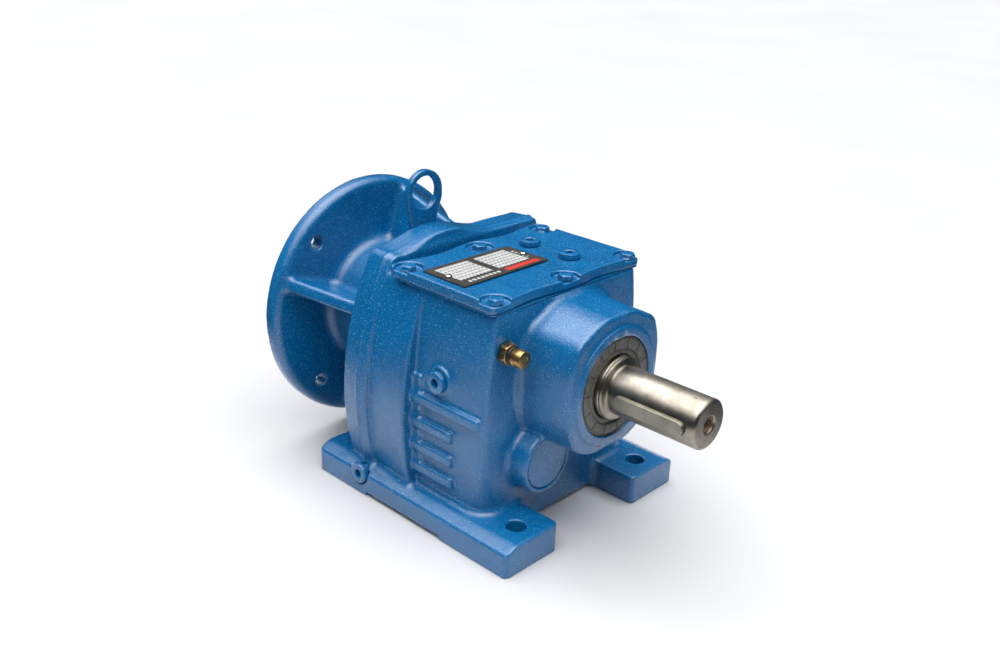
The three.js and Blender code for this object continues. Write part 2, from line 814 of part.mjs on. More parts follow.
// ---- bearings: an outer ring in the fixed part, and an inner ring with its row of balls ----
function outerRing({ x0, x1, rOuter, rInner, y, z }) {
  const wall = (rOuter - rInner) * 0.26;
  return ringX(x0, x1, rOuter - wall, rOuter, y, z, RING_SIDES);
}

function innerRing({ x0, x1, rOuter, rInner, y, z }) {
  const wall = (rOuter - rInner) * 0.26;
  const middle = (x0 + x1) / 2;
  const ballR = (rOuter - rInner) * 0.17;
  const crown = (rOuter + rInner) / 2 + ballR;
  const bore = rInner / Math.cos(Math.PI / RING_SIDES);
  return turned(
    [
      [x0, bore],
      [x0, rInner + wall],
      [middle - ballR, crown],
      [middle + ballR, crown],
      [x1, rInner + wall],
      [x1, bore],
    ],
    y,
    z,
    RING_SIDES,
  );
}

const BEARINGS = {
  output_front: { x0: 68, x1: 84, rOuter: 37.5, rInner: 22.8, y: 0, z: OUT_Z },
  output_rear: { x0: -28.6, x1: -14.6, rOuter: 31, rInner: 14.8, y: 0, z: OUT_Z },
  intermediate_front: { x0: 49.5, x1: 61.5, rOuter: 19.9, rInner: 8.5, y: MID_Y, z: MID_Z },
  intermediate_rear: { x0: -31.6, x1: -17.6, rOuter: 23.5, rInner: 10, y: MID_Y, z: MID_Z },
  input_front: { x0: -112, x1: -95, rOuter: 35.9, rInner: 17.5, y: 0, z: IN_Z },
  input_rear: { x0: -139.5, x1: -122.5, rOuter: 35.9, rInner: 17.5, y: 0, z: IN_Z },
};

// ---- assembly ----
const gearbox = new THREE.Group();

function addTo(group, name, body, material) {
  const mesh = new THREE.Mesh(geometryOf(body), material);
  mesh.name = name;
  group.add(mesh);
}

const casing = new THREE.Group();
gearbox.add(casing);
addTo(casing, "housing", housing(), paint);
addTo(casing, "input_flange", inputFlange(), paint);
addTo(casing, "top_cover", topCover(), paint);
addTo(casing, "cover_gasket", coverGasket(), fibre);
coverBoltPlaces().forEach((place, i) => addTo(casing, `cover_bolt_${i + 1}`, coverBolt(place), paint));
addTo(casing, "nameplate", nameplate(), platePaint);
rivetPlaces().forEach((y, i) => addTo(casing, `nameplate_rivet_${i + 1}`, rivet(y), ringSteel));
TOP_PLUGS.forEach((place, i) => addTo(casing, `cover_plug_${i + 1}`, topPlug(place), paint));
addTo(casing, "oil_level_plug", wallPlug(SIDE_PLUG, SIDE_PLUG.y, 8), paint);
addTo(casing, "oil_drain_plug", wallPlug({ ...DRAIN_PLUG, y: -92 }, DRAIN_PLUG.y + 4, 10), paint);
addTo(casing, "breather_body", breatherBody(), brass);
const oRingX = WALL_FRONT_X + 7 + GAP;
addTo(casing, "breather_o_ring", ringX(oRingX, oRingX + 2.4, 4.3, 6.4, BREATHER_Y, BREATHER_Z, 20), rubber);
addTo(casing, "breather_cap", breatherCap(), brass);
const sealRear = SEAL_FACE_X - SEAL_WIDTH;
addTo(casing, "output_oil_seal", ringX(sealRear, SEAL_FACE_X, COLLAR_R + 0.4, SEAL_R, 0, OUT_Z, 32), rubber);
addTo(casing, "intermediate_bore_cap", barX(62, MID_BOSS_X - 0.5, 19.8, MID_Y, MID_Z, 32), paint);
addTo(casing, "input_oil_seal", ringX(-150, -142.6, 20.4, 31, 0, IN_Z, 20), rubber);
addTo(casing, "input_bearing_circlip", ringX(-94.2, -92.2, 33.5, 37.6, 0, IN_Z, 20), ringSteel);
addTo(casing, "lifting_eye", liftingEye(), paint);
MOUNT_BOLTS.forEach((place, i) => {
  addTo(casing, `flange_bolt_${i + 1}`, mountBolt(place, MOUNT_PLATE_X), paint);
});
const eyeSeat = RIM_REAR_X - GAP - EYE_T;
addTo(casing, "lifting_eye_bolt", mountBolt({ y: EYE_BOLT_Y, z: EYE_BOLT_Z }, eyeSeat), paint);
for (const [name, bearing] of Object.entries(BEARINGS)) {
  addTo(casing, `${name}_bearing_outer_ring`, outerRing(bearing), ringSteel);
}

const output = new THREE.Group();
gearbox.add(output);
addTo(output, "output_shaft", outputShaft(), shaftSteel);
addTo(output, "output_key", outputKey(), shaftSteel);
addTo(output, "output_gear", gear(STAGE_2_X, OUT_TEETH, MODULE_2, PHASE_OUT, 0, OUT_Z, 21.3), gearSteel);
addTo(output, "output_gear_spacer", ringX(28.4, 39.6, 21.3, 27, 0, OUT_Z, 24), gearSteel);

const intermediate = new THREE.Group();
gearbox.add(intermediate);
addTo(intermediate, "intermediate_pinion_shaft", intermediateShaft(), gearSteel);
const gear1 = gear(STAGE_1_X, GEAR1_TEETH, MODULE_1, PHASE_GEAR1, MID_Y, MID_Z, 10);
addTo(intermediate, "intermediate_gear", gear1, gearSteel);

const input = new THREE.Group();
gearbox.add(input);
addTo(input, "input_pinion_shaft", inputShaft(), gearSteel);
addTo(input, "input_bearing_spacer", ringX(-122.2, -112.3, 17.5, 22, 0, IN_Z, 24), gearSteel);

const SHAFT_GROUPS = { output, intermediate, input };
for (const [name, bearing] of Object.entries(BEARINGS)) {
  const group = SHAFT_GROUPS[name.split("_")[0]];
  addTo(group, `${name}_bearing_inner_ring`, innerRing(bearing), ringSteel);
}

export default gearbox;
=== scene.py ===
"""Foot-mounted helical gearbox: cast, painted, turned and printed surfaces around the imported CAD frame.

Castings are distance functions in millimetres, meshed on a grid, so that every cast edge has its
round and every joint its fillet. Turned and milled pieces are built from their profiles.
"""
import math

import bmesh
import bpy
import numpy as np
from mathutils import Matrix, Vector


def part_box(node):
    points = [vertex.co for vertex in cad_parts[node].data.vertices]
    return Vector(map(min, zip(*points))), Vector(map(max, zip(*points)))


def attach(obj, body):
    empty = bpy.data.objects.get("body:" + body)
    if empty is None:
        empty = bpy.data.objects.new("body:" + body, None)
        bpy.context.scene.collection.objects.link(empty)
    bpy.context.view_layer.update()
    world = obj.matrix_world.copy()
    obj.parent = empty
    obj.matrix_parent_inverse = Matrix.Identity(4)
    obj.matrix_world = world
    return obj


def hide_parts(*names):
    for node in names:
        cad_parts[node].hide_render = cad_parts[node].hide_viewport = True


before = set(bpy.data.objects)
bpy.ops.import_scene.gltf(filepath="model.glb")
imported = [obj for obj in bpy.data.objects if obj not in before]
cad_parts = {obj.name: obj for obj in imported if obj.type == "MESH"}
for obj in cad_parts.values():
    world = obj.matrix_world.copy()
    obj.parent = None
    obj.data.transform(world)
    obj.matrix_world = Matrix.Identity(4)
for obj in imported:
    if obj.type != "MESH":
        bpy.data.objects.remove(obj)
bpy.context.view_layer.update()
MM = 0.001

# ---- driving dimensions of the casting, in millimetres ----
OUT_Z = 115.0
IN_Z = 107.0
MID_Y = -33.0
MID_Z = 57.5
FLANK_Z = 80.0
RIM_HALF = 94.0
RIM_R = 200.0
RIM_RIGHT_R = 700.0
BARREL_HALF = 93.0
BARREL_R = 225.0
WALL_HALF = 81.5
WALL_R = 520.0
RIM_X = (-84.5, -67.0, -59.0)  # rear face, crest and front of the rim
RIM_DRAFT_BEHIND, RIM_DRAFT_AHEAD = 0.10, 0.16
SEAM_HEIGHT, SEAM_WIDTH = 1.0, 1.1
BARREL_X = -19.0
BARREL_DRAFT = 0.085
WALL_X = 49.0
BODY_Z = (2.5, 171.7)
RIM_TOP = 182.0
FOOT_X = (-113.0, 87.0)
FOOT_Y = (42.5, 95.0)
FOOT_Z = (18.0, 22.5)  # top of a foot at its outer edge and where it starts to slope
FOOT_HOLES = [(x, y) for x in (69.5, -95.5) for y in (-67.5, 67.5)]
BOSS_ROOT_X, BOSS_X = 30.0, 93.0
SEAL_X = 94.0
SEAL_R = 36.0
FLANGE_X = (-168.5, -156.0)
FLANGE_R = 100.0
FLANGE_HOLE_CIRCLE_R = 82.5
NECK_R = 48.0
PLATE_X = (-96.8, -84.8)  # the plate that bolts the input flange to the rim
PLATE_HALF = 76.0
PLATE_Z = (44.0, 160.0)
EYE_Y, EYE_Z = -12.0, 213.2
EYE_R, EYE_HOLE_R = 17.0, 12.6
COVER_BOLT_HOLE_R = 2.9
FLANGE_BOLT_HOLE_R = 4.5
PLUG_HOLE_R = 5.6


def box_mm(node):
    """Lowest and highest corner of a CAD node, in millimetres."""
    low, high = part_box(node)
    return np.array(low) / MM, np.array(high) / MM


def middle_mm(node):
    low, high = box_mm(node)
    return (low + high) / 2


# ---- distance functions: p is three arrays, x, y and z ----
def round_max(a, b, r):
    """Where both hold, with the edge between them rounded to radius r."""
    return np.minimum(-r, np.maximum(a, b)) + np.hypot(np.maximum(a + r, 0), np.maximum(b + r, 0))


def round_min(a, b, r):
    """Where either holds, with a fillet of radius r in the corner between them."""
    return -round_max(-a, -b, r)


def slab(v, low, high):
    return np.maximum(low - v, v - high)


def block(low, high, r):
    """A rounded box as (distance, low, high)."""
    low, high = np.array(low, float), np.array(high, float)

    def distance(p):
        x = slab(p[0], low[0], high[0])
        y = slab(p[1], low[1], high[1])
        z = slab(p[2], low[2], high[2])
        return round_max(round_max(x, y, r), z, r)

    return distance, low, high


def drum(axis, centre, radius, low, high, r):
    """A round bar along one axis, its ends rounded, as (distance, low, high)."""
    others = [i for i in range(3) if i != axis]

    def distance(p):
        side = np.hypot(p[others[0]] - centre[0], p[others[1]] - centre[1]) - radius
        return round_max(side, slab(p[axis], low, high), r)

    corner_low, corner_high = np.zeros(3), np.zeros(3)
    corner_low[axis], corner_high[axis] = low, high
    for i, c in zip(others, centre):
        corner_low[i], corner_high[i] = c - radius, c + radius
    return distance, corner_low, corner_high


def convex_section(u, v, outline, corner):
    """Distance to a convex outline, anticlockwise in u and v, with rounded corners."""
    made = None
    for (u0, v0), (u1, v1) in zip(outline, outline[1:] + outline[:1]):
        length = math.hypot(u1 - u0, v1 - v0)
        edge = ((u - u0) * (v1 - v0) - (v - v0) * (u1 - u0)) / length
        made = edge if made is None else round_max(made, edge, corner)
    return made


def near(p, part, pad):
    _, low, high = part
    inside = (p[0] > low[0] - pad) & (p[0] < high[0] + pad)
    for i in (1, 2):
        inside &= (p[i] > low[i] - pad) & (p[i] < high[i] + pad)
    return inside


PAD = 7.0  # how far from a local feature its effect on the field is worked out


def add(field, p, part, fillet):
    inside = near(p, part, PAD + fillet)
    field[inside] = round_min(field[inside], part[0](p[:, inside]), fillet)


def cut(field, p, part, edge):
    inside = near(p, part, PAD)
    field[inside] = round_max(field[inside], -part[0](p[:, inside]), edge)


# ---- from a distance function to a mesh ----
BLOCK = 4  # samples along each side of a block of the coarse pass


def sample(distance, low, high, step):
    """The distance on a grid, worked out exactly only in the blocks that the surface may cross."""
    start = np.array(low) - 2.5 * step
    blocks = np.ceil((np.array(high) + 2.5 * step - start) / (step * BLOCK)).astype(int) + 1
    centres = [start[i] + step * (np.arange(blocks[i]) * BLOCK + (BLOCK - 1) / 2) for i in range(3)]
    coarse = np.array(np.meshgrid(*centres, indexing="ij"), np.float32).reshape(3, -1)
    field = distance(coarse).reshape(blocks)
    for axis in range(3):
        field = field.repeat(BLOCK, axis)
    at = np.nonzero(np.abs(field) < 3.4 * step + 1.5)
    points = np.array([start[i] + step * at[i] for i in range(3)], np.float32)
    field[at] = distance(points)
    return field, start


def net(field):
    """Vertices and quads of the zero level: one vertex in each grid cell that it crosses."""
    inside = field < 0
    cells = np.array(field.shape) - 1
    all_cells, all_points, all_flips = [], [], []
    for axis in range(3):
        ahead = [slice(None)] * 3
        behind = [slice(None)] * 3
        ahead[axis], behind[axis] = slice(1, None), slice(None, -1)
        at = np.argwhere(inside[tuple(behind)] != inside[tuple(ahead)])
        first = field[tuple(behind)][tuple(at.T)]
        second = field[tuple(ahead)][tuple(at.T)]
        points = at.astype(float)
        points[:, axis] += first / (first - second)
        b, c = (axis + 1) % 3, (axis + 2) % 3
        around = []
        for step_b, step_c in ((0, 0), (-1, 0), (-1, -1), (0, -1)):
            cell = at.copy()
            cell[:, b] += step_b
            cell[:, c] += step_c
            around.append(np.ravel_multi_index(cell.T, cells))
        all_cells.append(np.array(around).T)
        all_points.append(points)
        all_flips.append(first > 0)
    cell_of = np.concatenate(all_cells)
    points = np.concatenate(all_points)
    flips = np.concatenate(all_flips)
    _, quads = np.unique(cell_of, return_inverse=True)
    quads = quads.reshape(cell_of.shape)
    flat = quads.ravel()
    count = np.bincount(flat)
    vertices = np.array([np.bincount(flat, np.repeat(points[:, i], 4)) / count for i in range(3)])
    quads[flips] = quads[flips][:, ::-1]
    return vertices, quads


def settle(vertices, distance, step):
    """Moves vertices onto the exact surface along the distance's slope."""
    probe = 0.05
    for _ in range(2):
        here = distance(vertices)
        slope = np.empty_like(vertices)
        for axis in range(3):
            shifted = vertices.copy()
            shifted[axis] += probe
            slope[axis] = (distance(shifted) - here) / probe
        size = np.maximum((slope**2).sum(0), 0.25)
        move = here / size * slope
        length = np.maximum(np.sqrt((move**2).sum(0)), 1e-9)
        vertices = vertices - move * np.minimum(1, 0.5 * step / length)
    return vertices


def stand_in(piece, node):
    """Lets a piece take the place of a CAD node."""
    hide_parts(node)
    return piece


def cast(name, node, distance, step, faces=None):
    """A smooth-shaded casting inside a CAD node's box; faces is the most triangles it keeps."""
    low, high = box_mm(node)
    field, start = sample(distance, low, high, step)
    vertices, quads = net(field)
    vertices = settle(start[:, None] + step * vertices, distance, step)
    vertices = np.clip(vertices, low[:, None], high[:, None])
    mesh = bpy.data.meshes.new(name)
    mesh.from_pydata((vertices.T * MM).tolist(), [], quads.tolist())
    mesh.polygons.foreach_set("use_smooth", np.ones(len(quads), bool))
    made = bpy.data.objects.new(name, mesh)
    bpy.context.scene.collection.objects.link(made)
    if faces and 2 * len(quads) > faces:
        thin = made.modifiers.new("thin", "DECIMATE")
        thin.ratio = faces / (2 * len(quads))
    return stand_in(made, node)


# ---- housing ----
COVER_BOLTS = [f"cover_bolt_{i}" for i in range(1, 7)]
FLANGE_BOLTS = [f"flange_bolt_{i}" for i in range(1, 5)]
REAR_BOLTS = FLANGE_BOLTS + ["lifting_eye_bolt"]
COVER_PLUGS = ("cover_plug_1", "cover_plug_2")
SIDE_PLUGS = ("oil_level_plug", "oil_drain_plug")
RIVETS = ("nameplate_rivet_1", "nameplate_rivet_2")


def flank(p, half, bulge):
    """Distance to the pair of bulged sides whose greatest half width is half."""
    return np.hypot(np.abs(p[1]) + bulge - half, p[2] - FLANK_Z) - bulge


def rim_field(p):
    """The deep rim round the rear: crowned in x, bulged at its sides, straighter on the far side."""
    x, _, z = p
    behind = np.maximum(RIM_X[1] - x, 0)
    ahead = np.maximum(x - RIM_X[1], 0)
    seam = SEAM_HEIGHT * np.exp(-((x - RIM_X[1]) / SEAM_WIDTH) ** 2)
    fall = RIM_DRAFT_BEHIND * behind + RIM_DRAFT_AHEAD * ahead - seam
    left_half = np.minimum(p[1], 0)
    right_half = np.maximum(p[1], 0)
    left = flank((x, left_half, z), RIM_HALF, RIM_R)
    right = flank((x, right_half, z), RIM_HALF, RIM_RIGHT_R)
    side = np.where(p[1] < 0, left, right) + fall
    top = z - RIM_TOP + 0.5 * fall
    shell = round_max(side, top, 3.5)
    shell = round_max(shell, BODY_Z[0] - z, 1.5)
    return round_max(shell, slab(x, RIM_X[0], RIM_X[2]), 1.6)


def barrel_field(p):
    x, _, z = p
    side = flank(p, BARREL_HALF, BARREL_R) + BARREL_DRAFT * np.maximum(BARREL_X - x, 0)
    shell = round_max(side, z - BODY_Z[1], 3.0)
    shell = round_max(shell, BODY_Z[0] - z, 1.5)
    return round_max(shell, slab(x, RIM_X[1], BARREL_X), 2.2)


def walls_field(p):
    x, _, z = p
    side = flank(p, WALL_HALF, WALL_R)
    low_share = np.clip((105 - z) / 80, 0, 1)
    corner = 3.5 + 11 * low_share * low_share
    shell = round_max(side, x - WALL_X, corner)
    shell = round_max(shell, z - BODY_Z[1], 2.0)
    shell = round_max(shell, BODY_Z[0] - z, 1.5)
    return np.maximum(shell, BARREL_X - 6 - x)


def feet_field(p):
    x, y, z = p
    a = np.abs(y)
    rise, run = FOOT_Z[1] - FOOT_Z[0], 10.0
    ledge = ((a - FOOT_Y[1]) * rise + (z - FOOT_Z[0]) * run) / math.hypot(rise, run)
    top = round_max(z - FOOT_Z[1], ledge, 1.0)
    ends = slab(x, *FOOT_X)
    plan = round_max(round_max(ends, a - FOOT_Y[1], 4.5), FOOT_Y[0] - a, 4.0)
    return round_max(round_max(plan, top, 1.8), -z, 0.6)


BOSS_OUTLINE = [
    (-20, -46.5), (20, -46.5), (38, -38), (47, -20), (48.5, 0), (47.5, 24), (41, 40.5),
    (17, 52.5), (-17, 52.5), (-41, 40.5), (-47.5, 24), (-48.5, 0), (-47, -20), (-38, -38),
]


def output_boss():
    """The many-sided boss round the output bearing, a little wider at its root."""

    def distance(p):
        x, y, z = p
        draft = 1 + 0.03 * np.clip((BOSS_X - x) / 45, 0, 1)
        side = convex_section(y / draft, (z - OUT_Z) / draft, BOSS_OUTLINE, 3.5)
        return round_max(side, slab(x, BOSS_ROOT_X, BOSS_X), 2.6)

    return distance, (BOSS_ROOT_X, -50, 66), (BOSS_X, 50, 171)


def boss_bead():
    """The soft ridge that the casting leaves round the root of the output boss."""
    return drum(0, (0, OUT_Z), 52.5, WALL_X - 4, WALL_X + 1.0, 0.9)


def wall_rib(side, z, front):
    """A level rib on a side wall at height z, from the step to front."""

    def distance(p):
        out = side * p[1]
        reach = WALL_HALF + 4.0 - (p[2] - FLANK_Z) ** 2 / (2 * WALL_R)
        body = round_max(slab(p[2], z - 4.5, z + 4.0), out - reach, 2.0)
        return round_max(body, slab(p[0], BARREL_X - 2, front), 2.5)

    low = (BARREL_X - 2, min(70 * side, 88 * side), z - 5)
    high = (front, max(70 * side, 88 * side), z + 5)
    return distance, low, high


def wall_bead(side):
    """Upright bead beside the step, notched between the ribs."""

    def distance(p):
        out = side * p[1]
        wave = 0.5 + 0.5 * np.cos((p[2] - 95) * 2 * math.pi / 18.6)
        reach = WALL_HALF + 2.0 + 1.6 * wave - (p[2] - FLANK_Z) ** 2 / (2 * WALL_R)
        body = round_max(slab(p[0], BARREL_X - 1, BARREL_X + 7.5 + 0.8 * wave), out - reach, 1.6)
        return round_max(body, slab(p[2], 32, 112), 3)

    low = (BARREL_X - 1, min(70 * side, 88 * side), 32)
    high = (BARREL_X + 9, max(70 * side, 88 * side), 112)
    return distance, low, high


def eye_pad():
    """Arched pad on the rim that carries the lifting eye."""
    span, rise = 38.0, 10.5
    radius = (span**2 + rise**2) / (2 * rise)

    def distance(p):
        arch = np.hypot(p[1] - EYE_Y, p[2] - (RIM_TOP - 2 + rise - radius)) - radius
        return round_max(arch, slab(p[0], RIM_X[0], RIM_X[2] - 1.5), 2.0)

    low = (RIM_X[0], EYE_Y - span, 160)
    return distance, low, (RIM_X[2], EYE_Y + span, 196)


RIB_ROWS = ((95.0, 46.0), (76.0, 21.0), (57.0, 21.0), (39.5, 21.0))  # height and front end


def housing_field(p):
    """The whole housing, with a faint waviness from the mould."""
    p = np.asarray(p, np.float32)
    field = round_min(rim_field(p), barrel_field(p), 1.2)
    field = round_min(field, walls_field(p), 2.0)
    add(field, p, eye_pad(), 7.0)
    field = round_min(field, feet_field(p), 6.0)
    add(field, p, boss_bead(), 3.0)
    add(field, p, output_boss(), 5.0)
    add(field, p, drum(0, (0, OUT_Z), 43.0, BOSS_X - 3, SEAL_X + 0.5, 0.8), 1.0)
    add(field, p, drum(0, (MID_Y, MID_Z), 24.0, WALL_X - 3, 66.0, 2.2), 4.5)
    plug = middle_mm("oil_level_plug")
    add(field, p, drum(1, (plug[0], plug[2]), 10.5, -82.0, -70.0, 0.8), 1.5)
    for side in (-1, 1):
        add(field, p, wall_bead(side), 2.0)
        for z, front in RIB_ROWS:
            add(field, p, wall_rib(side, z, front), 1.6)
    cut_inside(field, p)
    cut_holes(field, p)
    x, y, z = p
    return field + 0.12 * np.sin(x / 7.3 + 1) * np.sin(y / 6.1 + 2) * np.sin(z / 8.7)


def chamber(half, bulge, low, high):
    """A gear chamber with bulged sides, as (distance, low, high)."""

    def distance(p):
        side = flank(p, half, bulge)
        tall = round_max(side, slab(p[2], low[2], high[2]), 4.0)
        return round_max(tall, slab(p[0], low[0], high[0]), 3.0)

    return distance, np.array(low), np.array(high)


# Half width, bulge radius and two corners: the rear gears, the rear opening, the front gears.
CHAMBERS = (
    (83, 180, (-60, -84, 9), (-32, 84, 158)),
    (58, 180, (-90, -59, 16), (-58, 59, 154)),
    (72.5, WALL_R, (-14, -73, 9), (38, 73, 160)),
)
# Two corners, corner radius and edge radius: under the cover, between the chambers, under the feet.
OPENINGS = (
    ((-14, -60, 150), (36, 60, 180), 4.0, 0.5),
    ((-34, -20, 149), (-12, 20, 157), 2.0, 0.5),
    ((-57, -120, -9), (22, 120, 3.0), 1.0, 0.8),
)
# Centre in y and z, radius and range in x of the bores for bearings, seal and cap.
BORES = (
    ((0, OUT_Z), 39.0, 28, 70),
    ((0, OUT_Z), 37.9, 60, SEAL_X - 9),
    ((0, OUT_Z), SEAL_R + 0.25, 80, 100),
    ((0, OUT_Z), 31.4, -29, -10),
    ((0, OUT_Z), 26.0, -35, -12),
    ((MID_Y, MID_Z), 24.0, -35, -16),
    ((MID_Y, MID_Z), 20.0, -34, -12),
    ((MID_Y, MID_Z), 20.3, 28, 70),
)


def cut_inside(field, p):
    """Gear chambers and bearing seats, as in the CAD housing."""
    for shape in CHAMBERS:
        cut(field, p, chamber(*shape), 0.5)
    for low, high, corner, edge in OPENINGS:
        cut(field, p, block(low, high, corner), edge)
    for centre, radius, low, high in BORES:
        cut(field, p, drum(0, centre, radius, low, high, 0.3), 0.5)


def cut_holes(field, p):
    """The holes in the feet and those for the screws and plugs."""
    for x, y in FOOT_HOLES:
        cut(field, p, drum(2, (x, y), 7.0, -9, 40, 0.3), 0.9)
    for node in COVER_BOLTS:
        x, y, _ = middle_mm(node)
        cut(field, p, drum(2, (x, y), COVER_BOLT_HOLE_R, 161, 180, 0.3), 0.4)
    for node in REAR_BOLTS:
        _, y, z = middle_mm(node)
        cut(field, p, drum(0, (y, z), FLANGE_BOLT_HOLE_R, -90, RIM_X[0] + 13, 0.3), 0.4)
    level, drain = middle_mm("oil_level_plug"), middle_mm("oil_drain_plug")
    cut(field, p, drum(1, (level[0], level[2]), PLUG_HOLE_R, -90, -68, 0.3), 0.4)
    cut(field, p, drum(1, (drain[0], drain[2]), PLUG_HOLE_R, -97, -70, 0.3), 0.4)
    cut(field, p, drum(1, (drain[0], drain[2]), 8.8, -110, -91, 0.3), 0.7)
    _, y, z = middle_mm("breather_body")
    cut(field, p, drum(0, (y, z), 4.5, 30, 60, 0.3), 0.4)


# ---- input flange, cover and lifting eye ----
RIB_ANGLES = (70, 160, 250, 340)


def flange_rib(angle):
    """A rib from the disc to the neck, its outer edge running in towards the gearbox."""
    turn = math.radians(angle)
    along, across = (math.cos(turn), math.sin(turn)), (-math.sin(turn), math.cos(turn))

    def distance(p):
        y, z = p[1], p[2] - IN_Z
        u = y * along[0] + z * along[1]
        v = y * across[0] + z * across[1]
        share = np.clip((p[0] - FLANGE_X[1]) / 70, 0, 1)
        edge = round_max(np.abs(v) - 5.2, u - (94 - 18 * share), 3.2)
        return np.maximum(np.maximum(edge, -u), slab(p[0], FLANGE_X[1] - 4, -86))

    far = (-86, 96, IN_Z + 96)
    return distance, (FLANGE_X[1] - 4, -96, IN_Z - 96), far


def mount_plate():
    def distance(p):
        side = flank(p, PLATE_HALF, RIM_R)
        shell = round_max(side, slab(p[2], *PLATE_Z), 6.0)
        return round_max(shell, slab(p[0], *PLATE_X), 1.5)

    low = (PLATE_X[0], -PLATE_HALF - 1, PLATE_Z[0])
    return distance, low, (PLATE_X[1], PLATE_HALF + 1, PLATE_Z[1])


def flange_field(p):
    p = np.asarray(p, np.float32)
    x, y, z = p
    radius = np.hypot(y, z - IN_Z)
    field = round_max(round_max(radius - FLANGE_R, x - FLANGE_X[1], 6.5), FLANGE_X[0] - x, 1.0)
    add(field, p, drum(0, (0, IN_Z), NECK_R, FLANGE_X[1] - 4, -88, 0.5), 9.0)
    add(field, p, mount_plate(), 6.0)
    for angle in RIB_ANGLES:
        add(field, p, flange_rib(angle), 5.0)
    cut(field, p, drum(0, (0, IN_Z), 65.2, -180, FLANGE_X[0] + 5, 0.3), 0.7)
    cut(field, p, drum(0, (0, IN_Z), 31.6, -170, -140, 0.3), 0.8)
    cut(field, p, drum(0, (0, IN_Z), 36.5, -142, -70, 0.3), 0.5)
    cut(field, p, drum(0, (0, IN_Z), 38.3, -94.5, -91.9, 0.2), 0.3)
    for angle in (45, 135, 225, 315):
        turn = math.radians(angle)
        centre = (FLANGE_HOLE_CIRCLE_R * math.cos(turn), IN_Z + FLANGE_HOLE_CIRCLE_R * math.sin(turn))
        cut(field, p, drum(0, centre, 5.5, -180, -150, 0.3), 0.9)
    for node in FLANGE_BOLTS:
        _, bolt_y, bolt_z = middle_mm(node)
        cut(field, p, drum(0, (bolt_y, bolt_z), FLANGE_BOLT_HOLE_R, -110, -70, 0.3), 0.5)
    return field + 0.1 * np.sin(x / 8 + 1) * np.sin(y / 7.1) * np.sin(z / 6.7)


def cover_field(p):
    """The cover plate: its long edges wave in between the bolts, and each bolt sits in a spot face."""
    p = np.asarray(p, np.float32)
    x, y, z = p
    low, high = box_mm("top_cover")
    bolts = [middle_mm(node) for node in COVER_BOLTS]
    pitch = bolts[1][1] - bolts[0][1]
    wave = 0.5 - 0.5 * np.cos(2 * math.pi * y / pitch)
    rear = low[0] + 4.5 * wave * (np.abs(y) < 75)
    front = high[0] - 2.2 * wave
    plan = round_max(rear - x, x - front, 1.0)
    plan = round_max(plan, np.abs(y) - high[1], 4.0)
    field = round_max(plan, slab(z, low[2], high[2]), 1.3)
    for *centre, _ in bolts:
        cut(field, p, drum(2, centre, 10.2, 178.2, 200, 0.8), 1.0)
        cut(field, p, drum(2, centre, COVER_BOLT_HOLE_R, 165, 200, 0.3), 0.3)
    for node in COVER_PLUGS:
        *centre, _ = middle_mm(node)
        add(field, p, drum(2, centre, 10.5, 175, 181.3, 0.2), 0.8)
        cut(field, p, drum(2, centre, 5.4, 165, 200, 0.3), 0.3)
    for node in RIVETS:
        *centre, _ = middle_mm(node)
        cut(field, p, drum(2, centre, 1.6, 176, 200, 0.2), 0.2)
    return field + 0.08 * np.sin(x / 5 + 2) * np.sin(y / 6.3)


def eye_field(p):
    """The lifting eye: a flat ring on a leg that narrows down to its bolt."""
    p = np.asarray(p, np.float32)
    low, high = box_mm("lifting_eye")
    x, y, z = p
    ring = np.hypot(y - EYE_Y, z - EYE_Z) - EYE_R
    _, bolt_y, bolt_z = middle_mm("lifting_eye_bolt")
    leg = [(bolt_y, low[2]), (bolt_y + 8.5, low[2] + 6), (EYE_Y + 16.6, EYE_Z - 3.7),
           (EYE_Y - 16.6, EYE_Z - 3.7), (bolt_y - 8.5, low[2] + 6)]
    plan = round_min(ring, convex_section(y, z, leg, 0.5), 3.0)
    field = round_max(plan, slab(x, low[0], high[0]), 0.6)
    cut(field, p, drum(0, (EYE_Y, EYE_Z), EYE_HOLE_R, -100, -60, 0.3), 0.6)
    cut(field, p, drum(0, (bolt_y, bolt_z), FLANGE_BOLT_HOLE_R, -100, -60, 0.3), 0.3)
    return field


# ---- turned pieces ----
SEGMENTS = 96
HEX = "hex"
SHARP_ANGLE = math.radians(32)
AXES = {  # the two directions across each axis and the one along it
    "x": ((0, 1, 0), (0, 0, 1), (1, 0, 0)),
    "-x": ((0, 0, 1), (0, 1, 0), (-1, 0, 0)),
    "z": ((1, 0, 0), (0, 1, 0), (0, 0, 1)),
    "-y": ((1, 0, 0), (0, 0, 1), (0, -1, 0)),
}


def radius_at(radius, shape, angle):
    """Radius of a round or hexagonal section; a hexagon's radius is half its width across flats."""
    if shape != HEX:
        return radius
    side = math.pi / 3
    return radius / math.cos((angle % side) - side / 2)


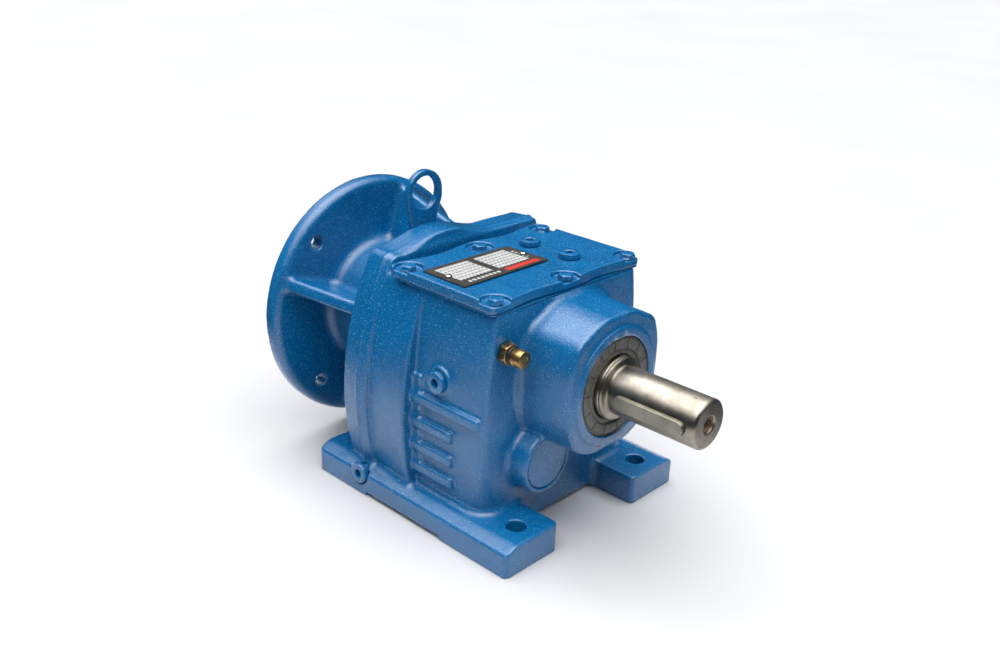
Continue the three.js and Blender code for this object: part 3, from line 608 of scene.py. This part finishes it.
def spun(name, stations, origin, axis, ring=False, segments=SEGMENTS, turn=0.0):
    """A turned piece: stations are (along, radius) or (along, radius, HEX), from one end to the other.

    A ring's stations go round its section and close on themselves; a bar's start and end on the axis.
    """
    made = bmesh.new()
    u, v, w = (Vector(direction) for direction in AXES[axis])
    rows = []
    for along, radius, *shape in stations:
        row = []
        for i in range(segments):
            angle = 2 * math.pi * i / segments
            r = radius_at(radius, shape[0] if shape else None, angle)
            place = Vector(origin) + w * along
            place += u * (r * math.cos(angle + turn)) + v * (r * math.sin(angle + turn))
            row.append(made.verts.new(place * MM))
        rows.append(row)
    pairs = list(zip(rows, rows[1:]))
    if ring:
        pairs.append((rows[-1], rows[0]))
    for first, second in pairs:
        for i in range(segments):
            j = (i + 1) % segments
            made.faces.new((first[i], first[j], second[j], second[i]))
    bmesh.ops.remove_doubles(made, verts=made.verts, dist=1e-7)
    bmesh.ops.recalc_face_normals(made, faces=made.faces)
    return finished(name, made)


def finished(name, made):
    """The object of a built mesh: smooth-shaded, apart from its sharp edges."""
    mesh = bpy.data.meshes.new(name)
    made.to_mesh(mesh)
    made.free()
    mesh.polygons.foreach_set("use_smooth", np.ones(len(mesh.polygons), bool))
    mesh.set_sharp_from_angle(angle=SHARP_ANGLE)
    piece = bpy.data.objects.new(name, mesh)
    bpy.context.scene.collection.objects.link(piece)
    return piece


def bevelled(piece, width, segments=2):
    soft = piece.modifiers.new("soft edges", "BEVEL")
    soft.width = width * MM
    soft.segments = segments
    soft.limit_method = "ANGLE"
    soft.angle_limit = math.radians(35)
    return piece


def carved(piece, *tools):
    """Cuts the tools out of a piece and deletes them."""
    for tool in tools:
        cutter = piece.modifiers.new("carve", "BOOLEAN")
        cutter.operation = "DIFFERENCE"
        cutter.solver = "EXACT"
        cutter.object = tool
        with bpy.context.temp_override(object=piece, active_object=piece):
            bpy.ops.object.modifier_apply(modifier=cutter.name)
        bpy.data.objects.remove(tool)
    piece.data.set_sharp_from_angle(angle=SHARP_ANGLE)
    return piece


def prism(name, outline, low, high, axis):
    """A flat-ended bar: outline is in x and z for axis y, or y and z for axis x."""
    made = bmesh.new()
    rows = []
    for along in (low, high):
        points = [(along, a, b) if axis == "x" else (a, along, b) for a, b in outline]
        rows.append([made.verts.new(Vector(point) * MM) for point in points])
    made.faces.new(rows[0])
    made.faces.new(rows[1])
    for i in range(len(outline)):
        j = (i + 1) % len(outline)
        made.faces.new((rows[0][i], rows[0][j], rows[1][j], rows[1][i]))
    bmesh.ops.recalc_face_normals(made, faces=made.faces)
    return finished(name, made)


def arc(cx, cy, r, start, end, steps):
    angles = [math.radians(start + (end - start) * i / steps) for i in range(steps + 1)]
    return [(cx + r * math.cos(a), cy + r * math.sin(a)) for a in angles]


def screw_seat(node, height, axis):
    """The point under a screw's head, and the length of its shank, from the box of its CAD node."""
    low, high = box_mm(node)
    along = "xyz".index(axis[-1])
    seat = (low + high) / 2
    seat[along] = high[along] - height if axis == "z" else low[along] + height
    return seat, high[along] - low[along] - height


def screw_turn(name):
    """A turn between 0 and 60 degrees that differs from screw to screw."""
    return sum(ord(letter) * (i + 3) for i, letter in enumerate(name)) * 7 % 60


def hex_bolt(node, across, height, shank_r, axis):
    """Hexagon-headed screw, its head chamfered and thick with paint."""
    seat, shank = screw_seat(node, height, axis)
    half = across / 2
    crown = half * 1.02
    stations = [
        (-shank, 0), (-shank, shank_r - 0.5), (-shank + 0.6, shank_r), (0, shank_r), (0, half * 0.97, HEX),
        (0.25, half, HEX), (height - 0.9, half, HEX), (height - 0.25, crown * 0.97),
        (height, crown * 0.88), (height, 0),
    ]
    piece = spun(f"{node}_piece", stations, seat, axis, turn=math.radians(screw_turn(node)))
    bevelled(piece, 0.45)
    return stand_in(piece, node)


PLUG_HEAD_R, PLUG_SHANK_R, PLUG_SOCKET_R = 8, 5, 3


def socket_plug(node, height, axis):
    """Round-headed plug with a hexagon socket."""
    head_r, shank_r, socket_r = PLUG_HEAD_R, PLUG_SHANK_R, PLUG_SOCKET_R
    seat, shank = screw_seat(node, height, axis)
    stations = [
        (-shank, 0), (-shank, shank_r - 0.6), (-shank + 0.7, shank_r), (-0.02, shank_r), (0, head_r - 0.4),
        (0.5, head_r), (height - 0.9, head_r), (height - 0.25, head_r - 0.35), (height, head_r - 0.95),
        (height, socket_r + 0.55, HEX), (height - 0.5, socket_r, HEX), (height - 3.4, socket_r, HEX),
        (height - 4.2, 0),
    ]
    return stand_in(spun(f"{node}_piece", stations, seat, axis), node)


# ---- output shaft, key and seal ----
def stadium(x0, x1, z, half):
    """Outline of a bar with round ends, in x and z."""
    ahead = arc(x1 - half, z, half, -90, 90, 16)
    behind = arc(x0 + half, z, half, 90, 270, 16)
    return ahead + behind


KEY_HALF = 5.0
SHAFT_R, SHAFT_LENGTH = 17.5, 70.0


def output_shaft():
    """The output shaft from its rear journal to its centre hole, with the keyway cut out."""
    low, high = box_mm("output_shaft")
    end, shoulder, r = high[0], high[0] - SHAFT_LENGTH, SHAFT_R
    stations = [
        (low[0], 0), (low[0], 13.8), (low[0] + 0.8, 14.5), (-2, 14.5), (-2, 21), (40, 21), (40, 26),
        (67.5, 26), (67.5, 22.5), (95.2, 22.5), (95.7, 22.0), (96.6, 22.0), (97.1, 22.5),
        (shoulder - 1.0, 22.5), (shoulder - 0.2, 21.7), (shoulder, 20.6), (shoulder, 18.2),
        (shoulder + 0.3, 17.7),
        (shoulder + 1.2, 17.1), (shoulder + 2.4, 17.1), (shoulder + 2.9, r), (end - 1.7, r),
        (end - 1.4, r - 0.15), (end - 0.15, r - 1.4), (end, r - 1.6), (end, 6.9), (end - 0.9, 6.0),
        (end - 24, 6.0), (end - 27, 0),
    ]
    piece = spun("output_shaft_bar", stations, (0, 0, OUT_Z), "x", segments=128)
    key_low, key_high = box_mm("output_key")
    outline = stadium(key_low[0] - 0.25, key_high[0] + 0.25, OUT_Z, KEY_HALF + 0.2)
    carved(piece, prism("keyway", outline, -r - 6, key_high[1] + 0.1, "y"))
    bevelled(piece, 0.25, 1)
    return stand_in(piece, "output_shaft")


def output_key():
    low, high = box_mm("output_key")
    outline = stadium(low[0], high[0], OUT_Z, KEY_HALF)
    piece = prism("output_key_bar", outline, low[1], high[1], "y")
    bevelled(piece, 0.55, 3)
    return stand_in(piece, "output_key")


THREAD_PITCH, THREAD_TURNS = 1.75, 12
THREAD_ROOT_R, THREAD_CREST_R = 5.95, 5.15


def shaft_thread():
    """The thread in the shaft's end, as a stack of rounded grooves inside the hole."""
    start = box_mm("output_shaft")[1][0] - 1.4
    stations = []
    for i in range(THREAD_TURNS):
        x = start - THREAD_PITCH * i
        stations += [(x, THREAD_ROOT_R), (x - THREAD_PITCH * 0.45, THREAD_CREST_R),
                     (x - THREAD_PITCH * 0.55, THREAD_CREST_R)]
    stations += [(start - THREAD_PITCH * THREAD_TURNS, THREAD_ROOT_R)]
    return spun("shaft_end_thread", stations, (0, 0, OUT_Z), "x", ring=True, segments=64)


def output_seal():
    """The seal's section: outer ring, groove, flat face, rolled inner edge and lip."""
    x = SEAL_X
    stations = [
        (x - 8, 23.2), (x - 8, SEAL_R), (x - 0.9, SEAL_R), (x - 0.5, SEAL_R - 0.15), (x - 0.35, SEAL_R - 0.6),
        (x - 1.0, SEAL_R - 1.0), (x - 1.0, SEAL_R - 1.5), (x - 0.2, SEAL_R - 1.9), (x - 0.1, SEAL_R - 3),
        (x - 0.1, 28.5), (x - 0.5, 27.6), (x - 1.6, 27.0), (x - 1.8, 26.2), (x - 1.2, 25.4), (x - 0.9, 24.4),
        (x - 1.3, 23.4), (x - 3, 23.0), (x - 6, 23.0),
    ]
    ring = spun("output_oil_seal_ring", stations, (0, 0, OUT_Z), "x", ring=True, segments=128)
    return stand_in(ring, "output_oil_seal")


def input_seal():
    low, high = box_mm("input_oil_seal")
    outer = (high[1] - low[1]) / 2
    stations = [
        (low[0] + 1.2, 20.6), (low[0] + 0.9, 22.4), (low[0] + 1.5, 23.6), (low[0] + 0.3, 24.8),
        (low[0], 25.6), (low[0], outer - 2.4), (low[0] + 0.7, outer - 1.9), (low[0] + 0.7, outer - 1.2),
        (low[0] + 0.1, outer - 0.8), (low[0] + 0.4, outer - 0.1), (high[0], outer - 0.1), (high[0], 20.6),
    ]
    return stand_in(spun("input_oil_seal_ring", stations, (0, 0, IN_Z), "x", ring=True), "input_oil_seal")


def input_shaft():
    """Hollow input shaft: the bore for the motor's shaft, its keyway, and the journal behind it."""
    x0, x1 = -152.0, -40.0
    stations = [
        (-100, 0), (-100, 11.4), (-100.6, 12), (x0 + 1, 12), (x0, 13), (x0, 19.2), (x0 + 0.8, 20), (-142, 20),
        (-142, 17.2), (-94, 17.2), (-94, 14), (x1 - 0.8, 14), (x1, 13.2), (x1, 0),
    ]
    piece = spun("input_shaft_bar", stations, (0, 0, IN_Z), "x")
    slot = [(-4, IN_Z), (4, IN_Z), (4, IN_Z + 15.3), (-4, IN_Z + 15.3)]
    carved(piece, prism("input_keyway", slot, -155, -104, "x"))
    return stand_in(piece, "input_pinion_shaft")


PINION_TEETH = 16
PINION_MODULE = 2 * math.hypot(MID_Y, IN_Z - MID_Z) / (40 + PINION_TEETH)
PINION_PITCH_R = PINION_MODULE * PINION_TEETH / 2
PINION_ADDEND, PINION_DEDEND = 0.85 * PINION_MODULE, 1.2 * PINION_MODULE
PINION_PHASE = math.atan2(IN_Z - MID_Z, -MID_Y) + math.pi * (1 + 1 / PINION_TEETH)


def input_pinion():
    """The input pinion's teeth, sized and turned as in the CAD model."""
    pitch, addend, dedend = PINION_PITCH_R, PINION_ADDEND, PINION_DEDEND
    outline = []
    for tooth in range(PINION_TEETH):
        for r, share in ((pitch - dedend, -0.34), (pitch + addend, -0.1), (pitch + addend, 0.1),
                         (pitch - dedend, 0.34)):
            angle = PINION_PHASE + (tooth + share) * 2 * math.pi / PINION_TEETH
            outline.append((r * math.cos(angle), IN_Z + r * math.sin(angle)))
    return bevelled(prism("input_pinion_teeth", outline, -58, -39, "x"), 0.25)


SEAL_TICKS = 14


def seal_ticks():
    """Raised moulding ticks on the seal's face, evenly spaced."""
    made = bmesh.new()
    shaft_axis = Matrix.Translation(Vector((0, 0, OUT_Z)) * MM)
    out = Matrix.Translation(Vector((SEAL_X - 0.05, 0, 31.2)) * MM)
    size = Matrix.Diagonal((0.4 * MM, 0.75 * MM, 6.2 * MM, 1))
    for i in range(SEAL_TICKS):
        turn = Matrix.Rotation(2 * math.pi * (i + 0.35) / SEAL_TICKS, 4, "X")
        bmesh.ops.create_cube(made, size=1, matrix=shaft_axis @ turn @ out @ size)
    return bevelled(finished("output_oil_seal_ticks", made), 0.1, 1)


# ---- breather ----
def breather_body():
    _, y, z = middle_mm("breather_body")
    stations = [
        (-8.8, 0), (-8.8, 3.5), (-8.2, 3.9), (0, 3.9), (0, 6.4), (0.5, 6.9, HEX), (1.0, 7, HEX),
        (5.4, 7, HEX), (6.3, 7.2), (6.7, 6.6), (6.7, 4.6), (7.5, 4.0), (14.7, 4.0), (14.7, 0),
    ]
    body = spun("breather_body_piece", stations, (WALL_X + 0.3, y, z), "x", turn=0.2)
    bevelled(body, 0.2)
    return stand_in(body, "breather_body")


def breather_o_ring():
    _, y, z = middle_mm("breather_body")
    low, high = box_mm("breather_o_ring")
    centre, tube = (low[0] + high[0]) / 2, (high[0] - low[0]) / 2
    section = [(centre + tube * math.cos(a), 5.6 + tube * math.sin(a))
               for a in np.linspace(0, 2 * math.pi, 20, endpoint=False)]
    return stand_in(spun("breather_o_ring_piece", section, (0, y, z), "x", ring=True), "breather_o_ring")


def breather_cap():
    _, y, z = middle_mm("breather_body")
    low, high = box_mm("breather_cap")
    x0, x1 = low[0], high[0]
    stations = [
        (x0, 4.2), (x0, 5.7), (x0 + 0.4, 6.2), (x0 + 1.6, 6.2), (x0 + 2.0, 5.6), (x0 + 3.2, 5.6),
        (x0 + 3.6, 6.2), (x1 - 0.9, 6.2), (x1 - 0.25, 5.95), (x1, 5.4), (x1, 2.4), (x1 - 0.3, 2.0),
        (x1 - 0.3, 0), (x0 + 5.6, 0), (x0 + 5.6, 4.2),
    ]
    return stand_in(spun("breather_cap_piece", stations, (0, y, z), "x", ring=True), "breather_cap")


# ---- cap, nameplate, rivets, gasket ----
def bore_cap():
    low, high = box_mm("intermediate_bore_cap")
    x0, x1 = low[0], high[0]
    stations = [
        (x0, 0), (x0, 19.4), (x0 + 0.4, 19.8), (x1 - 0.9, 19.8), (x1 - 0.2, 19.4), (x1, 18.7), (x1, 17.6),
        (x1 - 0.15, 17.2), (x1 - 0.15, 0),
    ]
    cap = spun("intermediate_bore_cap_piece", stations, (0, MID_Y, MID_Z), "x")
    return stand_in(cap, "intermediate_bore_cap")


def breaks(*runs):
    """Sorted grid lines from runs of (first, last, count)."""
    values = set()
    for first, last, count in runs:
        values.update(round(first + (last - first) * i / count, 3) for i in range(count + 1))
    return sorted(values)


# The nameplate's print: u runs along Y and v along X, from the plate's lowest corner.
BLACK, WHITE, RED = 0, 1, 2
ROWS = 6
ROW_PITCH = 26 / ROWS
TABLE_V = (4.5, 4.5 + ROWS * ROW_PITCH)
COLUMNS_U = ((6, 37), (43.5, 74))
DASH, DASH_HEIGHT = 1.1, 1.1
STRIP_V, RED_FROM, RED_MARGIN = (32.5, 37.5), 45, 5
CAPTION_U, CAPTION_V, CAPTION_DASH = (8, 40), (33.4, 36.4), 1.3
SIDE_U, SIDE_V, SIDE_DASH = (75.5, 78.5), (8, 28), 1.2


def within(value, run):
    return run[0] < value < run[1]


def plate_print(u, v, length):
    """Which ink the nameplate has at a place of its print."""
    if within(v, TABLE_V) and any(within(u, column) for column in COLUMNS_U):
        on_line = (v - TABLE_V[0]) % ROW_PITCH > ROW_PITCH - DASH_HEIGHT
        return BLACK if on_line and int(u / DASH) % 3 else WHITE
    if within(v, STRIP_V) and RED_FROM < u < length - RED_MARGIN:
        return RED
    if within(v, CAPTION_V) and within(u, CAPTION_U):
        return WHITE if int(u / CAPTION_DASH) % 3 else BLACK
    if within(u, SIDE_U) and within(v, SIDE_V):
        return BLACK if int(v / SIDE_DASH) % 3 else WHITE
    return BLACK


def nameplate():
    """Printed plate: a frame, a two-column table of dashed rows and a red strip, with no lettering."""
    low, high = box_mm("nameplate")
    width, length = high[0] - low[0], high[1] - low[1]
    line_v = (TABLE_V[0] + ROW_PITCH - DASH_HEIGHT, TABLE_V[1] - DASH_HEIGHT)
    across = breaks((0, width, 8), (*TABLE_V, ROWS), (*line_v, ROWS - 1), (*STRIP_V, 1), (*CAPTION_V, 1),
                    (SIDE_V[0], SIDE_V[0] + 16 * SIDE_DASH, 16))
    along = breaks((0, length, 10), *((*column, 1) for column in COLUMNS_U), (*SIDE_U, 1), (*CAPTION_U, 1),
                   (RED_FROM, length - RED_MARGIN, 1), (6 * DASH, 67 * DASH, 61),
                   (6 * CAPTION_DASH, 30 * CAPTION_DASH, 24))
    made = bmesh.new()
    grids = []
    for base in (low[2], high[2]):
        grid = []
        for v in across:
            lift = 0.7 * (v / width) ** 2
            grid.append([made.verts.new(Vector((low[0] + v, low[1] + u, base + lift * (u / length))) * MM)
                         for u in along])
        grids.append(grid)
    rows, columns = len(across), len(along)
    for i in range(rows - 1):
        for j in range(columns - 1):
            for level, grid in enumerate(grids):
                corners = (grid[i][j], grid[i + 1][j], grid[i + 1][j + 1], grid[i][j + 1])
                face = made.faces.new(corners if level else corners[::-1])
                if level:
                    u, v = (along[j] + along[j + 1]) / 2, (across[i] + across[i + 1]) / 2
                    face.material_index = plate_print(u, v, length)
    edge = [(i, 0) for i in range(rows)] + [(rows - 1, j) for j in range(1, columns)]
    edge += [(i, columns - 1) for i in range(rows - 2, -1, -1)] + [(0, j) for j in range(columns - 2, 0, -1)]
    for (a, b), (c, d) in zip(edge, edge[1:] + edge[:1]):
        made.faces.new((grids[0][a][b], grids[0][c][d], grids[1][c][d], grids[1][a][b]))
    return stand_in(finished("nameplate_sheet", made), "nameplate")


RIVET_RISE, RIVET_R, RIVET_PIN_R = 1.2, 2.6, 1.2


def rivet(node):
    """Domed rivet, its head standing a little above its CAD node's on the bowed plate."""
    low, high = box_mm(node)
    x, y, _ = (low + high) / 2
    base = high[2] - RIVET_RISE
    dome = [(RIVET_RISE * math.sin(a), RIVET_R * math.cos(a)) for a in np.linspace(0, math.pi / 2, 7)]
    stations = [(low[2] - base, 0), (low[2] - base, RIVET_PIN_R), (0, RIVET_PIN_R)] + dome
    return stand_in(spun(f"{node}_piece", stations, (x, y, base + 0.4), "z", segments=32), node)


# ---- materials ----
class Surface:
    """A material being built, whose patterns lie in the piece's own coordinates."""

    def __init__(self, name):
        self.material = bpy.data.materials.new(name)
        self.material.use_nodes = True
        self.nodes = self.material.node_tree.nodes
        self.place = self.nodes.new("ShaderNodeTexCoord").outputs["Object"]

    def put(self, inputs, values):
        """Links each input to another node's output, or gives it its plain value."""
        for name, value in values.items():
            if isinstance(value, bpy.types.NodeSocket):
                self.material.node_tree.links.new(value, inputs[name])
            else:
                inputs[name].default_value = value

    def node(self, kind, values):
        made = self.nodes.new(f"ShaderNode{kind}")
        self.put(made.inputs, values)
        return made

    def noise(self, scale, detail=2.0, roughness=0.5, stretch=None):
        place = self.place
        if stretch:
            place = self.node("Mapping", {"Vector": place, "Scale": stretch}).outputs["Vector"]
        values = {"Vector": place, "Scale": scale, "Detail": detail, "Roughness": roughness}
        return self.node("TexNoise", values).outputs["Fac"]

    def ramp(self, value, first, last):
        """Colour that runs from first to last, each a place and a colour."""
        made = self.node("ValToRGB", {"Fac": value})
        for element, (place, colour) in zip(made.color_ramp.elements, (first, last)):
            element.position = place
            element.color = (*colour, 1)
        return made.outputs["Color"]

    def spread(self, value, low, high):
        return self.node("MapRange", {"Value": value, "To Min": low, "To Max": high}).outputs["Result"]

    def bump(self, height, distance, under=None):
        """Relief of the given height in metres, over the relief under it."""
        values = {"Height": height, "Distance": distance, "Strength": 1.0}
        if under:
            values["Normal"] = under
        return self.node("Bump", values).outputs["Normal"]

    def spotted(self, spots, colour, other):
        """Colour, with the plain other colour where the noise of the spots is high."""
        made = self.nodes.new("ShaderNodeMix")
        made.data_type = "RGBA"
        mask = self.ramp(spots, (0.62, (0, 0, 0)), (0.72, (1, 1, 1)))
        self.put(made.inputs, {"Factor": mask, 6: colour, 7: (*other, 1)})
        return made.outputs[2]

    def shade(self, values):
        """Gives the shader its inputs; returns the material."""
        self.put(self.nodes["Principled BSDF"].inputs, values)
        return self.material


def paint(name, peel=1.0):
    """Thick glossy enamel over rough castings: orange peel, slight random changes of tone, and pale flecks in
    the colour that are painted highlights, standing in for light glinting off the orange peel.
    """
    made = Surface(name)
    blue = made.ramp(made.noise(28, 3), (0.3, (0.0, 0.098, 0.265)), (0.7, (0.0, 0.122, 0.325)))
    fine = made.noise(1400, 1.5)
    relief = made.bump(fine, 0.00032 * peel, made.bump(made.noise(130, 2), 0.0003 * peel))
    return made.shade({
        # the pale flecks mixed into the base colour are painted highlights: fixed sparkle in place of light
        # glinting off the orange peel
        "Base Color": made.spotted(fine, blue, (0.11, 0.36, 0.62)),
        "Normal": relief,
        "Roughness": made.spread(made.noise(60, 2), 0.06, 0.11),
        "IOR": 1.65,
        "Coat Weight": 0.3,
        "Coat Roughness": 0.05,
        "Coat Normal": relief,
    })


def steel(name, dark, light, roughness, line_scale, relief=0.00001, anisotropy=0.5, stains=None):
    """Machined steel: fine tool lines across the axis with the largest line scale, and faint stains."""
    made = Surface(name)
    colour = made.ramp(made.noise(70, 4, 0.6), (0.32, dark), (0.68, light))
    if stains:
        colour = made.spotted(made.noise(260, 5, 0.7), colour, stains)
    lines = made.noise(40, 3, 0.7, line_scale)
    return made.shade({
        "Base Color": colour,
        "Metallic": 1.0,
        "Normal": made.bump(lines, relief),
        "Roughness": made.spread(lines, *roughness),
        "Anisotropic": anisotropy,
    })


def mottled(name, dark, light, scale, roughness, relief, metallic=0.0, grain=0.6):
    """A mottled surface in two close tones with a fine relief."""
    made = Surface(name)
    cloud = made.noise(scale, 4, grain)
    return made.shade({
        "Base Color": made.ramp(cloud, (0.3, dark), (0.7, light)),
        "Normal": made.bump(cloud, relief),
        "Roughness": made.spread(cloud, *roughness),
        "Metallic": metallic,
    })


# ---- dressing the pieces ----
def dress(piece, body, slot, *looks):
    for material in looks:
        piece.data.materials.append(material)
    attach(piece, body)


def dress_node(node, material):
    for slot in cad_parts[node].material_slots:
        slot.material = material


def materials():
    """Every material of the gearbox, by a short name."""
    return {
        "blue": paint("blue_enamel"),
        "blue_small": paint("blue_enamel_on_fasteners", 0.6),
        "shaft": steel("ground_shaft_steel", (0.24, 0.21, 0.17), (0.40, 0.37, 0.315), (0.3, 0.42),
                       (55, 0.4, 0.4), 0.000012, 0.6, (0.12, 0.09, 0.06)),
        "key": steel("key_steel", (0.26, 0.25, 0.20), (0.38, 0.36, 0.30), (0.35, 0.5),
                     (4, 4, 30), 0.00002, 0.0, (0.10, 0.08, 0.05)),
        "gear": steel("oiled_gear_steel", (0.2, 0.19, 0.18), (0.34, 0.33, 0.32), (0.22, 0.38), (12, 1, 1)),
        "bright": steel("bearing_steel", (0.5, 0.5, 0.5), (0.66, 0.66, 0.66), (0.12, 0.25), (30, 1, 1)),
        "brass": mottled("tarnished_brass", (0.20, 0.105, 0.035), (0.66, 0.43, 0.19), 240,
                         (0.24, 0.42), 0.00004, 1.0),
        "o_ring": mottled("o_ring_rubber", (0.006, 0.006, 0.006), (0.02, 0.02, 0.02), 300,
                          (0.3, 0.5), 0.00002),
        "seal": mottled("seal_rubber", (0.055, 0.052, 0.044), (0.15, 0.145, 0.13), 300,
                        (0.38, 0.62), 0.00012, grain=0.7),
        "tick": mottled("seal_tick_ink", (0.012, 0.012, 0.01), (0.03, 0.03, 0.026), 300, (0.4, 0.6), 0.00002),
        "rust": mottled("rusty_thread", (0.06, 0.035, 0.02), (0.32, 0.22, 0.14), 420,
                        (0.35, 0.6), 0.0001, 0.6),
        "plate_black": mottled("plate_black", (0.025, 0.022, 0.018), (0.06, 0.055, 0.045), 500,
                               (0.3, 0.45), 0.00004),
        "plate_white": mottled("plate_white", (0.5, 0.5, 0.49), (0.72, 0.72, 0.7), 420,
                               (0.3, 0.42), 0.00004, 0.3),
        "plate_red": mottled("plate_red", (0.42, 0.02, 0.015), (0.6, 0.05, 0.03), 420, (0.3, 0.42), 0.00004),
    }


GRID_STEP, QUICK_GRID_STEP = 1.2, 2.0
HIDDEN_GEARS = ("output_gear", "output_gear_spacer", "intermediate_pinion_shaft", "intermediate_gear",
                "input_bearing_spacer")


def dress_castings(look):
    step = GRID_STEP
    castings = (
        cast("housing_casting", "housing", housing_field, step, 195_000),
        cast("input_flange_casting", "input_flange", flange_field, step * 1.1, 120_000),
        cast("top_cover_casting", "top_cover", cover_field, step * 0.7, 90_000),
    )
    for casting in castings:
        dress(casting, "casing", "blue_paint", look["blue"])
    eye = cast("lifting_eye_plate", "lifting_eye", eye_field, step * 0.65)
    dress(eye, "casing", "painted_steel_plate", look["blue_small"])


def dress_screws(look):
    screws = [hex_bolt(node, 10, 4, 2.5, "z") for node in COVER_BOLTS]
    screws += [hex_bolt(node, 13, 5.3, 4, "-x") for node in REAR_BOLTS]
    screws += [socket_plug(node, 4.2, "z") for node in COVER_PLUGS]
    screws += [socket_plug(node, 3.9, "-y") for node in SIDE_PLUGS]
    for screw in screws:
        dress(screw, "casing", "painted_fasteners", look["blue_small"])


def dress_output_end(look):
    for piece, body, slot, name in (
        (output_shaft(), "output_train", "shaft_steel", "shaft"),
        (output_key(), "output_train", "key_steel", "key"),
        (shaft_thread(), "output_train", "shaft_steel", "rust"),
        (output_seal(), "casing", "seal_rubber", "seal"),
        (seal_ticks(), "casing", "seal_rubber", "tick"),
    ):
        dress(piece, body, slot, look[name])


def dress_fittings(look):
    for piece, slot, name in (
        (breather_body(), "brass", "brass"),
        (breather_o_ring(), "seal_rubber", "o_ring"),
        (breather_cap(), "brass", "brass"),
        (bore_cap(), "blue_paint", "blue"),
    ):
        dress(piece, "casing", slot, look[name])
    dress(nameplate(), "casing", "nameplate", look["plate_black"], look["plate_white"], look["plate_red"])
    for node in RIVETS:
        dress(rivet(node), "casing", "bright_steel", look["bright"])
    dress_node("cover_gasket", look["blue_small"])


def dress_input_end(look):
    """The seal and the hollow shaft seen through the flange, and the CAD pieces behind them."""
    dress(input_seal(), "casing", "seal_rubber", look["seal"])
    dress(input_shaft(), "input_train", "gear_steel", look["gear"])
    dress(input_pinion(), "input_train", "gear_steel", look["gear"])
    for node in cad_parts:
        if node == "input_bearing_circlip" or ("bearing" in node and node.endswith("_ring")):
            dress_node(node, look["bright"])
        elif node in HIDDEN_GEARS:
            dress_node(node, look["gear"])


def build():
    look = materials()
    dress_castings(look)
    dress_screws(look)
    dress_output_end(look)
    dress_fittings(look)
    dress_input_end(look)


# ---- stage, lights, camera ----
AZIMUTH, ELEVATION, ROLL = math.radians(42.52), math.radians(23.07), math.radians(2.56)
DISTANCE = 0.77268
LENS = 38.06
TARGET = Vector((-0.00841, -0.00723, 0.12326))
TABLE_HALF = (0.33, 0.6)  # half sizes of the table, across the view and along it


def floor():
    """A pale table under the gearbox and the same pale floor all round it.

    The wide floor shows in no reflection, so the glossy sides mirror the table and then the dim room.
    """
    pale = mottled("pale_floor", (0.53, 0.53, 0.54), (0.56, 0.56, 0.57), 3, (0.5, 0.6), 0.0)
    across, along = TABLE_HALF
    table = bmesh.new()
    bmesh.ops.create_grid(table, x_segments=2, y_segments=2, size=1)
    bmesh.ops.scale(table, vec=(across, along, 1), verts=table.verts)
    bmesh.ops.rotate(table, matrix=Matrix.Rotation(AZIMUTH, 3, "Z"), verts=table.verts)
    wide = bmesh.new()
    bmesh.ops.create_grid(wide, x_segments=2, y_segments=2, size=15)
    bmesh.ops.translate(wide, vec=(0, 0, -0.0004), verts=wide.verts)
    for name, made in (("table", table), ("wide_floor", wide)):
        piece = finished(name, made)
        piece.data.materials.append(pale)
        piece.visible_glossy = name == "table"


def backdrop():
    """A pale wall far away all round, only for the eye of the camera."""
    made = bmesh.new()
    bmesh.ops.create_uvsphere(made, u_segments=64, v_segments=32, radius=12)
    piece = finished("backdrop", made)
    glow = {"Base Color": (0, 0, 0, 1), "Emission Color": (1, 1, 1, 1), "Emission Strength": 0.95}
    piece.data.materials.append(Surface("pale_backdrop").shade(glow))
    piece.visible_diffuse = False
    piece.visible_glossy = False
    piece.visible_transmission = False
    piece.visible_shadow = False


def soft_light(name, direction, spread_degrees, strength):
    """Even light from far away: direction points from the gearbox to the middle of the soft disc."""
    light = bpy.data.lights.new(name, "SUN")
    light.energy = strength
    light.angle = math.radians(spread_degrees)
    holder = bpy.data.objects.new(name, light)
    holder.rotation_mode = "QUATERNION"
    holder.rotation_quaternion = (-Vector(direction)).to_track_quat("-Z", "Y")
    bpy.context.scene.collection.objects.link(holder)


def lights():
    world = bpy.data.worlds.new("studio")
    bpy.context.scene.world = world
    world.use_nodes = True
    background = world.node_tree.nodes["Background"]
    background.inputs["Color"].default_value = (0.45, 0.7, 1.0, 1)
    background.inputs["Strength"].default_value = 0.07
    soft_light("key", (-0.62, 0.07, 0.78), 44, 0.75)
    soft_light("overhead", (0.1, -0.1, 1.0), 80, 5.6)


def camera():
    """A 36 mm camera that looks at the target from its azimuth and elevation, rolled a little."""
    data = bpy.data.cameras.new("camera")
    data.sensor_width = 36.0
    data.lens = LENS
    data.clip_start, data.clip_end = 0.02, 60
    holder = bpy.data.objects.new("camera", data)
    back = Vector((math.sin(AZIMUTH) * math.cos(ELEVATION), -math.cos(AZIMUTH) * math.cos(ELEVATION),
                   math.sin(ELEVATION)))
    right = Vector((0, 0, 1)).cross(back).normalized()
    up = back.cross(right)
    rolled_right = right * math.cos(ROLL) + up * math.sin(ROLL)
    rolled_up = up * math.cos(ROLL) - right * math.sin(ROLL)
    turn = Matrix((rolled_right, rolled_up, back)).transposed().to_4x4()
    holder.matrix_world = Matrix.Translation(TARGET + back * DISTANCE) @ turn
    bpy.context.scene.collection.objects.link(holder)
    bpy.context.scene.camera = holder


build()
floor()
backdrop()
lights()
camera()
bpy.context.scene.view_settings.view_transform = "Standard"
